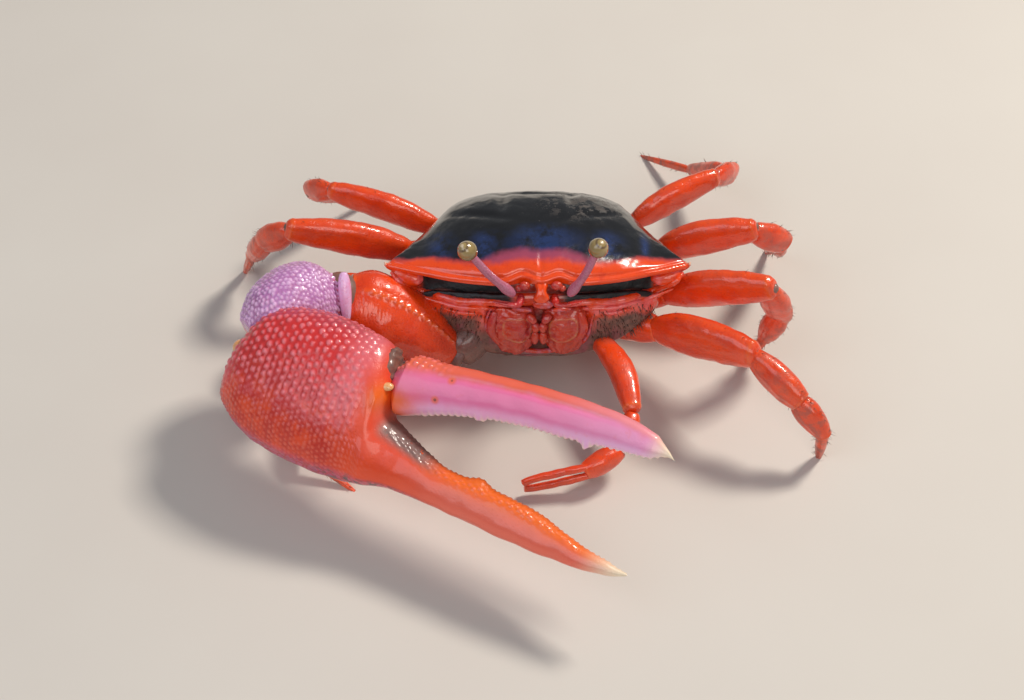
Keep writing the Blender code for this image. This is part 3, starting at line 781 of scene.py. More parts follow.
@dataclass(frozen=True)
class PalmShell(Finish):
    """The giant claw's palm and fixed finger, by place along it and up its face."""

    def paint(self, graph: Graph) -> bpy.types.Material:
        """Wire up the rose face, red lower part, orange front and cream tip.

        Args:
            graph: an empty material of the finish's name.

        Returns:
            The finished material.
        """
        place, height = graph.mark("far"), graph.mark("high")
        far = place + (graph.grain(2.5, 3.0, 0.6) - 0.5) * 2.4
        high = height + (graph.grain(3.0, 3.0, 0.6, 3.0) - 0.5) * 0.4
        colour = graph.mix(high.step(-0.5, -0.05), Tint.EMBER.value, Tint.ROSE.value)
        warm = graph.grain(1.8, 3.0, 0.6, 5.0).step(0.42, 0.66)
        colour = graph.mix(warm * high.step(0.5, -0.5) * 0.8, colour, Tint.FLAME.value)
        colour = graph.mix(high.step(0.72, 1.0) * 0.5, colour, Tint.PLUM.value)
        colour = graph.mix(far.step(-8.0, -11.5) * 0.5, colour, Tint.BLUSH.value)
        colour = graph.mix(far.step(2.0, 6.0) * high.step(-0.3, 0.3) * 0.6, colour, Tint.BLUSH.value)
        colour = graph.mix(far.step(5.5, 8.5) * 0.85, colour, Tint.FLAME.value)
        finger = far.step(12.0, 22.0)
        blade = graph.mix(high.step(-0.2, 0.9), Tint.SALMON.value, Tint.ORANGE.value)
        colour = graph.mix(finger, colour, blade)
        colour = graph.mix(graph.mark("rim"), colour, Tint.ORANGE.value)
        knob = graph.mix(high.step(-0.1, -0.6), Tint.BLUSH.value, Tint.SALMON.value)
        colour = graph.mix(graph.mark("knob") * (0.85 - finger * 0.5), colour, knob)
        net = graph.cells(1.0, "DISTANCE_TO_EDGE").step(0.16, 0.03)
        low = height.step(-0.76, -0.94) * far.step(20.0, 10.0)
        colour = graph.mix(low * 0.4, colour, Tint.LILAC.value)
        colour = graph.mix(low * net * 0.7, colour, Tint.EMBER.value)
        below = low * graph.grain(1.2, 5.0, 0.65, 9.0).step(0.48, 0.56) * place.step(2.0, 8.0)
        crook = place.step(9.0, 11.0) * place.step(19.0, 15.0) * height.step(0.3, 0.7)
        dirt = below.most(crook * graph.grain(1.0, 5.0, 0.7, 12.0).step(0.32, 0.4))
        colour = graph.mix(dirt * 0.9, colour, Tint.MUD.value)
        colour = graph.mix(place.step(36.0, 42.0), colour, Tint.CREAM.value)
        height = graph.grain(0.5, 4.0, 0.6, 2.0) - graph.cells(0.3).step(0.4, 0.1) * 0.3
        graph.bump(height + dirt * 0.5, 0.05)
        return graph.surface(
            Base_Color=colour,
            Roughness=graph.grain(1.1, 3.0, 0.5, 6.0) * 0.2 + 0.26 + dirt * 0.2,
            Coat_Weight=0.5,
            Coat_Roughness=0.1,
        )


# Where the giant claw's own frame stands, and how it turns and tilts
GIANT_PLACE = (-25.6, -22.8, 12.5)
GIANT_BEARING = radians(30.7)
GIANT_TILT = radians(46.0)


def claw_frame() -> Matrix:
    """The giant claw's own frame: along it, up its face and out of its face.

    Returns:
        Its matrix.
    """
    along = Vector((cos(GIANT_BEARING), -sin(GIANT_BEARING), 0.0))
    level = Vector((-sin(GIANT_BEARING), -cos(GIANT_BEARING), 0.0))
    outward = level * cos(GIANT_TILT) + Vector((0.0, 0.0, sin(GIANT_TILT)))
    turn = Matrix((along, outward.cross(along), outward)).transposed().to_4x4()
    return Matrix.Translation(at_home(*GIANT_PLACE)) @ turn


GIANT_FRAME = claw_frame()


@dataclass(frozen=True)
class FingerShell(Finish):
    """The giant claw's movable finger: orange root, pink face, pale edge and tip."""

    # Pores with an orange halo, and last the stain near the tip: along the claw, up and radius
    pits: tuple[tuple[float, float, float], ...] = (
        (15.8, 8.2, 0.25), (14.8, 5.4, 0.22), (27.6, 10.0, 0.15), (33.5, 10.7, 0.15),
        (38.4, 11.0, 0.4),
    )

    def paint(self, graph: Graph) -> bpy.types.Material:
        """Wire up the bands by place along the finger and up its face.

        Args:
            graph: an empty material of the finish's name.

        Returns:
            The finished material.
        """
        place = graph.mark("far")
        far = place + (graph.grain(2.2, 3.0, 0.6) - 0.5) * 3.0
        high = graph.mark("high") + (graph.grain(2.5, 3.0, 0.6, 3.0) - 0.5) * 0.4
        colour = graph.mix(high.step(0.3, 0.75), Tint.PINK.value, Tint.SALMON.value)
        colour = graph.mix(high.step(-0.25, -0.9) * 0.75, colour, Tint.LAVENDER.value)
        root = far.step(15.0, 9.5) * (high.step(0.1, -0.5) * 0.85 + 0.15)
        colour = graph.mix(root, colour, Tint.ORANGE.value)
        colour = graph.mix(far.step(24.0, 40.0) * 0.35, colour, Tint.LAVENDER.value)
        colour = graph.mix(graph.mark("knob") * 0.6, colour, Tint.BLUSH.value)
        colour = graph.mix(graph.mark("rim"), colour, Tint.CREAM.value)
        colour = graph.mix(place.step(38.5, 42.0), colour, Tint.CREAM.value)
        for at, up, size in self.pits:
            gap = graph.distance(GIANT_FRAME @ Vector((at, up, 2.0)))
            colour = graph.mix(gap.step(size * 3.0, size) * 0.7, colour, Tint.ORANGE.value)
            colour = graph.mix(gap.step(size, size * 0.5) * 0.7, colour, Tint.BRISTLE.value)
        stain = graph.grain(1.4, 5.0, 0.65, 9.0).step(0.6, 0.72)
        colour = graph.mix(stain * 0.2, colour, Tint.SALMON.value)
        graph.bump(graph.grain(0.5, 4.0, 0.6, 2.0), 0.04)
        return graph.surface(
            Base_Color=colour,
            Roughness=graph.grain(1.1, 3.0, 0.5, 6.0) * 0.18 + 0.28,
            Coat_Weight=0.4,
            Coat_Roughness=0.12,
        )


@dataclass(frozen=True)
class FaceShell(Finish):
    """The lower body: black orbits, flame ridges, brown hairy sides and pale breast."""

    def paint(self, graph: Graph) -> bpy.types.Material:
        """Wire up the parts by the marks that the mesh carries.

        Args:
            graph: an empty material of the finish's name.

        Returns:
            The finished material.
        """
        ridge, orbit, breast = graph.mark("ridge"), graph.mark("orbit"), graph.mark("breast")
        patch = graph.grain(1.2, 5.0, 0.65).step(0.4, 0.65)
        colour = graph.mix(patch, Tint.HIDE.value, Tint.BRISTLE.value)
        bruise = graph.grain(2.4, 3.0, 0.6, 5.0).step(0.5, 0.7) * 0.5
        colour = graph.mix(bruise, colour, Tint.PLUM.value)
        colour = graph.mix(breast * 0.4, colour, Tint.SALMON.value)
        colour = graph.mix(breast * patch * 0.6, colour, Tint.MUD.value)
        clouds = graph.grain(0.9, 3.0, 0.6, 3.0).step(0.4, 0.7)
        blood = graph.mix(clouds * 0.6, Tint.FLAME.value, Tint.EMBER.value)
        tinge = graph.grain(2.2, 3.0, 0.6, 12.0).step(0.46, 0.62)
        blood = graph.mix(tinge * 0.5, blood, Tint.BLUSH.value)
        colour = graph.mix(ridge, colour, blood)
        colour = graph.mix(orbit, colour, Tint.BLACK.value)
        graph.bump(graph.grain(0.4, 4.0, 0.6, 2.0) + graph.cells(0.35) * 0.4, 0.05)
        return graph.surface(
            Base_Color=colour,
            Roughness=0.42 - ridge * 0.14 + orbit * 0.05,
            Coat_Weight=ridge * 0.65 + 0.15 - orbit * 0.12,
            Coat_Roughness=0.06,
        )


@dataclass(frozen=True)
class Cornea(Finish):
    """Olive-gold eye with a painted reflection round its top: a faint dark ring and a pale cap."""

    def paint(self, graph: Graph) -> bpy.types.Material:
        """Wire up the painted reflection rings by place along the eye.

        Args:
            graph: an empty material of the finish's name.

        Returns:
            The finished material.
        """
        top = graph.mark("top") + (graph.grain(0.9, 2.0) - 0.5) * 0.05
        colour = graph.mix(top.step(0.3, 0.75) * 0.7, Tint.CORNEA.value, Tint.GOLD.value)
        # Painted reflection: a dark ring and a pale cap at the eye's top stand in for the spiral glint
        # on the wet cornea.
        ring = top.step(0.74, 0.79) * top.step(0.86, 0.81)
        colour = graph.mix(ring * 0.7, colour, Tint.BRISTLE.value)
        colour = graph.mix(top.step(0.9, 0.95) * 0.6, colour, Tint.CREAM.value)
        colour = graph.mix(top.step(0.26, 0.08) * 0.7, colour, Tint.STALK.value)
        facets = graph.cells(0.12)
        graph.bump(facets, 0.01)
        return graph.surface(
            Base_Color=colour, Roughness=facets * 0.1 + 0.1, Coat_Weight=1.0, Coat_Roughness=0.03,
        )


@dataclass(frozen=True)
class Flesh(Finish):
    """Soft skin of joints and eyestalks, mottled in two colours."""

    base: Tint = Tint.HIDE
    spot: Tint = Tint.MUD
    rough: float = 0.35
    mottle: float = 0.5

    def paint(self, graph: Graph) -> bpy.types.Material:
        """Wire up the mottled skin.

        Args:
            graph: an empty material of the finish's name.

        Returns:
            The finished material.
        """
        mottle = graph.grain(self.mottle, 4.0, 0.65).step(0.42, 0.64)
        colour = graph.mix(mottle * 0.6, self.base.value, self.spot.value)
        wrinkles = graph.grain(0.3, 3.0, 0.6, 3.0)
        graph.bump(wrinkles, 0.05)
        return graph.surface(
            Base_Color=colour,
            Roughness=wrinkles * 0.2 + self.rough,
            Coat_Weight=0.4,
            Coat_Roughness=0.1,
        )


@dataclass(frozen=True)
class Bristle(Finish):
    """Stiff short hair, darker in patches."""

    def paint(self, graph: Graph) -> bpy.types.Material:
        """Wire up the bristles."""
        colour = graph.mix(graph.grain(1.5, 3.0).step(0.35, 0.7), Tint.BRISTLE.value, Tint.HIDE.value)
        return graph.surface(Base_Color=colour, Roughness=0.45)


@dataclass(frozen=True)
class StudioFloor(Finish):
    """Pale, plain, slightly clouded floor."""

    def paint(self, graph: Graph) -> bpy.types.Material:
        """Wire up the floor.

        Args:
            graph: an empty material of the finish's name.

        Returns:
            The finished material.
        """
        clouds = graph.grain(30.0, 3.0)
        colour = graph.mix(clouds * 0.12, Tint.FLOOR.value, Tint.HIDE.value)
        return graph.surface(Base_Color=colour, Roughness=0.75)


FEELER_SHELL = Shell("feeler_shell", base=Tint.EMBER, deep=Tint.PLUM)
LEG_SHELL = Shell("leg_shell", mud=0.6, rough=0.28)
ARM_SHELL = Shell("arm_shell", knob=Tint.SALMON)
WRIST_SHELL = Shell("wrist_shell", base=Tint.LILAC, deep=Tint.STALK, knob=Tint.LAVENDER, rim=Tint.FLAME)
MOUTH_SHELL = Shell("mouth_shell", base=Tint.MOUTH, deep=Tint.PLUM, rim=Tint.APRICOT, rough=0.18)
CREST_SHELL = Shell("crest_shell", base=Tint.LAVENDER, deep=Tint.PINK, rim=Tint.LAVENDER)
CREAM_SHELL = Shell("cream_shell", base=Tint.APRICOT, deep=Tint.ORANGE, rim=Tint.GOLD)
UNDER_SHELL = Shell("under_shell", base=Tint.HIDE, deep=Tint.MUD, rim=Tint.SALMON, rough=0.35)
JOINT_SKIN = Flesh("joint_skin")
STALK_SKIN = Flesh("stalk_skin", base=Tint.STALK, spot=Tint.PLUM, mottle=0.22, rough=0.25)
LIP_SKIN = Flesh("lip_skin", base=Tint.MOUTH, spot=Tint.STALK, mottle=0.7, rough=0.15)


@dataclass
class Carapace:
    """The arched back shield with its narrow front between the eyestalks."""

    half_width: float = 18.0
    front_y: Keys = Keys(
        (0.0, -10.6), (2.2, -10.6), (5.5, -10.3), (10.0, -9.4), (14.0, -8.3), (18.0, -6.6),
    )
    front_z: Keys = Keys((0.0, 0.3), (2.2, 0.2), (5.5, 0.0), (10.0, 0.0), (14.0, 0.3), (18.0, 0.2))
    crest_y: Keys = Keys((0.0, 1.5), (10.0, 0.0), (15.0, -4.0), (18.0, -6.5))
    crest_z: Keys = Keys((0.0, 4.4), (5.0, 4.3), (10.0, 3.1), (14.0, 1.3), (16.5, 1.0), (18.0, 0.6))
    rear_y: Keys = Keys(
        (0.0, 11.5), (8.0, 11.1), (10.3, 9.6), (12.5, 5.6), (15.0, 0.1), (16.5, -4.0), (18.0, -6.4),
    )
    rear_z: Keys = Keys((0.0, -3.6), (8.0, -3.6), (12.5, -2.6), (15.0, -1.4), (16.5, -0.5), (18.0, 0.4))
    rim_depth: float = 1.2
    lip_depth: float = 0.55
    notch_at: float = 2.2
    notch_depth: float = 0.5
    notch_width: float = 1.35
    # Blue patches behind the flame band: place across and half width
    patches: tuple[tuple[float, float], ...] = (
        (-11.5, 1.3), (-6.3, 1.5), (0.8, 4.0), (8.2, 1.6), (12.8, 0.5),
    )
    tongue: tuple[Vector, Vector] = (Vector((0.43, -9.7, 0.2)), Vector((0.43, -11.3, -1.9)))

    def place(self, along: float, angle: float, girth: float) -> Vector:
        """A point of the shield: rings run across from the right corner to the left one.

        Args:
            along: place between the poles, 0 to 1.
            angle: turn round the shape.
            girth: 1 at the middle and 0 at the poles.

        Returns:
            The point, in millimetres.
        """
        x = -self.half_width * cos(along * pi)
        wide = abs(x)
        notch = self.notch_depth * bell(abs(x - 0.35), self.notch_at, self.notch_width)
        front = self.front_y.at(wide)[0] + notch
        crest = (self.crest_y.at(wide)[0], self.crest_z.at(wide)[0])
        forward = abs(angle) > pi / 2.0
        y_end = front if forward else self.rear_y.at(wide)[0]
        z_end = self.front_z.at(wide)[0] + 1.1 * notch if forward else self.rear_z.at(wide)[0]
        y = crest[0] + (y_end - crest[0]) * abs(cos(angle))
        if angle >= 0.0:
            z = z_end + (crest[1] - z_end) * sin(angle)
        else:
            share = (y - front) / (self.rear_y.at(wide)[0] - front)
            ahead, behind = self.front_z.at(wide)[0], self.rear_z.at(wide)[0]
            low = ahead + (behind - ahead) * share
            depth = self.lip_depth + (self.rim_depth - self.lip_depth) * smooth(0.1, 0.4, share)
            z = low - depth * min(1.0, girth * 2.0) * power(-sin(angle), 0.6)
        return BODY @ Vector((x, y, z))

    def relief(self, spot: Spot) -> tuple[float, ...]:
        """Rims, grooves and regions, with the reach behind the front margin in millimetres.

        Args:
            spot: where the point lies.

        Returns:
            How far it is raised, then a value for each mark.
        """
        here = BODY.inverted() @ spot.co
        wide = abs(here.x)
        if spot.angle < 0.0:
            return 0.0, 0.0, wide / self.half_width, 0.0, 0.0
        reach = spot.half - spot.v
        bands = reach + self.notch_depth * bell(abs(here.x - 0.35), self.notch_at, self.notch_width)
        fade = smooth(0.0, 2.5, reach) * smooth(0.0, 2.5, spot.v)
        bead = 0.5 + 0.5 * cos(2.0 * pi * here.x / 0.42)
        rise = 0.13 * bell(reach, 0.25, 0.28) - 0.16 * bell(reach, 0.85, 0.26)
        rise += 0.07 * bead * bell(reach, 0.5, 0.12) * smooth(4.0, 5.0, wide)
        rise += 0.14 * bell(spot.v, 0.25, 0.22) - 0.1 * bell(spot.v, 0.7, 0.25)
        rise -= 0.38 * bell(wide, 4.2, 0.8) * bell(here.y, 3.0, 3.6) * fade
        rise -= 0.26 * bell(wide, 0.0, 4.6) * bell(here.y, 5.2, 0.6) * fade
        rise -= 0.22 * bell(here.y - 0.45 * wide, -3.6, 0.8) * bell(wide, 7.0, 3.4) * fade
        rise -= 0.16 * bell(here.x - 0.35, 0.0, 0.28) * bell(reach, 2.4, 2.4)
        rise += 0.16 * bell(wide, 2.2, 1.3) * bell(here.y, -5.5, 2.0)
        rise += 0.05 * (noise.fractal(here * 0.55, 0.8, 2.0, 3) - 0.2) * fade
        rise -= 0.14 * bell((here - Vector((12.9, -5.2, 2.2))).length, 0.0, 0.7)
        pale = bell(spot.v, 0.2, 0.3) * smooth(11.0, 13.0, wide)
        blue = max(bell(here.x, middle, half) for middle, half in self.patches)
        blue *= smooth(2.4, 3.6, bands) * smooth(8.5, 5.5, bands - 1.2 * bell(here.x, 0.8, 4.0))
        return rise, bands, wide / self.half_width, pale, blue

    def build(self) -> None:
        """Make the shield and its spatulate front."""
        shield = pulled(240, 200, self.place, self.relief, ("reach", "flank", "rim", "blue"))
        top, tip = self.tongue
        bow = (top + tip) / 2.0 + Vector((0.0, -0.35, 0.2))
        sizes = Keys((0.0, 1.3, 0.8), (0.45, 0.6, 0.7), (0.8, 1.05, 0.6), (1.0, 0.85, 0.4))
        front = Limb([BODY @ top, BODY @ bow, BODY @ tip], sizes, SIDEWAYS, 0.5)

        def groove(spot: Spot) -> tuple[float, ...]:
            """A shallow furrow down the middle of the front."""
            depth = 0.12 * bell(spot.angle, -pi / 2.0, 0.35) * smooth(1.0, 0.8, spot.along)
            return -depth, 0.5, 0.0, 0.0, 0.0

        tongue = front.mesh(40, 40, groove, ("reach", "flank", "rim", "blue"))
        shell = joined([shield, tongue])
        put("carapace_shell", shell, BackShell("back_shell"), ["carapace"])


class Coat:
    """Stiff bristles on one part, joined into a mesh."""

    def __init__(self, seed: int) -> None:
        """Start an empty coat.

        Args:
            seed: of its random lengths and leans.
        """
        self.draw = Random(seed)
        self.bm = bmesh.new()
        self.places = self.bm.loops.layers.uv.new("OFBake")

    def grow(
        self, spot: Spot, lie: Vector, length: float, radius: float, share: tuple[int, int] = (0, 1),
    ) -> None:
        """Root one bristle.

        Args:
            spot: where it grows.
            lie: which way it points.
            length: its usual length.
            radius: at its root.
            share: which strip of the map the part has, and how many parts share the map.
        """
        stray = Vector([self.draw.uniform(-0.35, 0.35) for _ in range(3)])
        lie = (lie.normalized() + stray).normalized()
        long = length * self.draw.uniform(0.6, 1.2)
        turn = lie.to_track_quat("Z", "Y").to_matrix().to_4x4()
        centre = spot.co + stray * 0.5 + lie * (long / 2.0 - 0.15)
        if centre.z + lie.z * long / 2.0 < radius:
            return
        hair = bmesh.ops.create_cone(
            self.bm, cap_ends=True, segments=4, radius1=radius, radius2=radius * 0.15, depth=long,
            matrix=Matrix.Translation(centre) @ turn,
        )
        strip, strips = share
        across = (strip + MAP_EDGE + MAP_SPAN * spot.along) / strips
        root = Vector((across, MAP_EDGE + MAP_SPAN * (spot.angle / (2.0 * pi) + 0.5)))
        for index, vert in enumerate(hair["verts"]):
            corner = root + Vector((PATCH * (index % 2), PATCH * (index // 2 % 2)))
            for loop in vert.link_loops:
                loop[self.places].uv = corner

    def put(self, name: str) -> None:
        """Finish the coat as a piece."""
        put(name, self.bm, Bristle("bristle"))


@dataclass
class Trunk:
    """The lower body: orbits, ridges, mouth frame, hairy sides and breast plate."""

    stations: Keys = Keys(
        (0.00, -9.2, 0.0, -6.3, -6.3, 0.0), (0.10, -9.7, 6.4, -3.6, -9.6, 0.25),
        (0.20, -9.9, 11.5, -2.7, -10.1, 0.34), (0.28, -9.6, 15.6, -1.9, -10.4, 0.44),
        (0.34, -8.9, 16.4, -2.0, -10.7, 0.48), (0.42, -7.8, 16.5, -2.9, -10.9, 0.50),
        (0.50, -6.4, 16.4, 0.0, -11.0, 0.50), (0.62, -2.5, 14.8, 0.0, -11.1, 0.48),
        (0.74, 2.0, 12.6, -1.0, -10.9, 0.44), (0.86, 6.5, 10.4, -1.8, -9.8, 0.40),
        (0.95, 9.6, 8.0, -2.6, -8.2, 0.36), (1.00, 10.6, 0.0, -4.8, -4.8, 0.36),
    )
    # Crest of the ridge under each orbit, from beside the front to the shell's corner
    crest: tuple[tuple[float, float, float], ...] = (
        (1.4, -10.2, -2.6), (3.0, -10.2, -2.75), (6.0, -10.1, -2.5), (9.0, -9.9, -2.5),
        (11.4, -9.6, -2.0), (13.75, -9.0, -1.5), (16.2, -7.6, -1.3), (17.3, -6.9, -0.3),
    )
    ridge_half: float = 0.42
    # Wall that closes each orbit's outer corner against the shell
    wall: tuple[tuple[float, float, float], ...] = (
        (13.5, -7.0, -1.2), (15.6, -6.7, -1.0), (17.2, -6.3, -0.3),
    )
    wall_half: float = 0.95
    # How thick a cord is along its length, as a share of its half thickness
    cord_sizes: tuple[tuple[float, float], ...] = ((0.0, 0.5), (0.15, 1.0), (0.85, 1.0), (1.0, 0.8))
    # Folds under the ridge: depth below it, half thickness, and first and last crest point
    folds: tuple[tuple[float, float, int, int], ...] = ((0.85, 0.3, 1, 7), (1.6, 0.26, 1, 5))
    mouth: tuple[float, float, float] = (6.2, -3.2, -9.9)
    round_from: float = -4.0
    recess: float = 1.3
    face_corner: float = 0.7
    flank_corner: float = 0.5
    hairy: tuple[float, float, float, float] = (6.6, 13.8, -3.6, -8.0)
    hairs: int = 520
    hair_length: float = 1.0
    hair_radius: float = 0.055
    hair_spread: float = 0.25
    hair_seed: int = 7
    carapace: Carapace = field(default_factory=Carapace)

    def place(self, along: float, angle: float, girth: float) -> Vector:
        """A point of the lower body: rings run from the mouth, round the face, to the rear.

        Args:
            along: place between the poles, 0 to 1.
            angle: turn round the shape.
            girth: 1 at the middle and 0 at the poles; not used here.

        Returns:
            The point, in millimetres.
        """
        y, half, top, bottom, taper = self.stations.at(along)
        corner = self.face_corner + (self.flank_corner - self.face_corner) * clamp((along - 0.2) / 0.1)
        x = half * power(cos(angle), corner)
        middle = (top + bottom) / 2.0
        z = middle + (top - bottom) / 2.0 * power(sin(angle), 0.75)
        low = clamp((top - z) / max(top - bottom, 0.1))
        x *= 1.0 - taper * low ** 1.3
        bow = self.carapace.front_y.read(abs(x))[0] - self.carapace.front_y.rows[0][1]
        y += bow * clamp(1.0 - (along - 0.3) * 2.6) * min(1.0, along / 0.2)
        if along < 0.55 and z > middle:
            z += (self.carapace.front_z.read(abs(x))[0] - 0.1) * clamp(1.0 - low * 4.0) * 0.8
        wide, high, deep = self.mouth
        fall = clamp((self.round_from - z) / (self.round_from - deep))
        wide *= sqrt(1.0 - fall ** 2.5)
        inside = clamp((wide - abs(x)) / 0.8) * clamp((high - z) / 0.8) * clamp((z - deep) / 0.8)
        if along < 0.25:
            y += self.recess * inside
        return BODY @ Vector((x, y, z))

    def laid(self, tree: BVHTree, x: float, y: float, z: float) -> Vector:
        """Slide a place of the body's frame down the view until it lies on the face.

        Args:
            tree: the face to land on.
            x: across, in the body's frame.
            y: lengthways, in the body's frame.
            z: up, in the body's frame.

        Returns:
            The place on the face, or the start where the view meets none.
        """
        sight = Vector((0.0, cos(VIEW_ELEVATION), -sin(VIEW_ELEVATION)))
        start = BODY @ Vector((x, y, z))
        hit = tree.ray_cast(start - sight * 3.0, sight, 8.0)[0]
        return hit or start

    def cord(self, points: Sequence[Vector], half: float) -> bmesh.types.BMesh:
        """One raised cord along the face, marked as ridge.

        Args:
            points: its middle line.
            half: its half thickness.

        Returns:
            The closed mesh, in millimetres.
        """
        def relief(spot: Spot) -> tuple[float, ...]:
            """Uneven beads."""
            bead = 0.03 * cos(2.0 * pi * spot.u / 0.55) if half < self.wall_half else 0.0
            return bead + 0.1 * noise.noise(spot.co * 0.9), 0.0, 1.0, 0.0

        sizes = Keys(*[(at, half * share, half * share) for at, share in self.cord_sizes])
        limb = Limb(points, sizes, LENGTHWAYS, 0.4, 1.0)
        return limb.mesh(90, 20, relief, ("orbit", "ridge", "breast"))

    def build(self) -> None:
        """Make the lower body, its ridges and folds, and the bristles on its sides."""
        plain = pulled(60, 80, self.place)
        tree = BVHTree.FromBMesh(plain)
        plain.free()
        cords, level = [], []
        for side in (-1, 1):
            crest = [self.laid(tree, side * x, y, z) for x, y, z in self.crest]
            cords.append(self.cord(crest, self.ridge_half))
            level = [BODY.inverted() @ point for point in crest]
            corner = [BODY @ Vector((side * x, y, z)) for x, y, z in self.wall]
            cords.append(self.cord(corner, self.wall_half))
            for depth, half, first, last in self.folds:
                below = [self.laid(tree, side * x, y, z - depth) for x, y, z in self.crest[first:last]]
                cords.append(self.cord(below, half))
        line = Keys(*[(abs(point.x), point.z) for point in level])
        roots: list[Spot] = []

        def relief(spot: Spot) -> tuple[float, ...]:
            """Grooves between the breast plates, and marks for the orbits and red parts.

            Args:
                spot: where the point lies.

            Returns:
                How far it is raised, then a value for each mark.
            """
            here = BODY.inverted() @ spot.co
            wide, crest = abs(here.x), line.read(abs(here.x))[0]
            face = smooth(-4.5, -7.0, here.y) * smooth(0.45, 0.36, spot.along)
            breast = smooth(-8.6, -9.8, here.z) * smooth(-8.5, -6.5, here.y)
            sutures = (0.5 + 0.5 * cos(2.0 * pi * (here.y + 0.25 * wide) / 3.1)) ** 6
            groove = 0.3 * breast * sutures * smooth(2.0, 3.0, wide)
            rise = 0.1 * noise.fractal(here * 0.9, 0.8, 2.0, 3) - groove
            above = smooth(crest - 0.1, crest + 0.3, here.z) * smooth(0.6, 0.5, spot.along)
            orbit = above * smooth(14.2, 13.3, wide) * smooth(2.6, 3.6, wide)
            red = face * smooth(crest - 2.6, crest - 1.6, here.z)
            framed = face * smooth(7.8, 6.4, wide) * smooth(-8.0, -5.0, here.z)
            near, far, top, bottom = self.hairy
            if near < wide < far and bottom < here.z < top - 0.1 * (far - wide) and here.y < -4.0:
                roots.append(spot)
            return rise, orbit, max(red, framed, above) * (1.0 - orbit), breast

        shell = pulled(170, 200, self.place, relief, ("orbit", "ridge", "breast"))
        put("thorax_shell", joined([shell, *cords]), FaceShell("face_shell"), ["thorax"])
        coat = Coat(self.hair_seed)
        lie = BODY.to_3x3() @ Vector((0.0, -0.75, -0.65))
        for spot in coat.draw.sample(roots, min(self.hairs, len(roots))):
            outward = SIDEWAYS * (self.hair_spread * copysign(1.0, spot.co.x - HOME.x))
            coat.grow(spot, lie + outward, self.hair_length, self.hair_radius)
        coat.put("face_bristles")


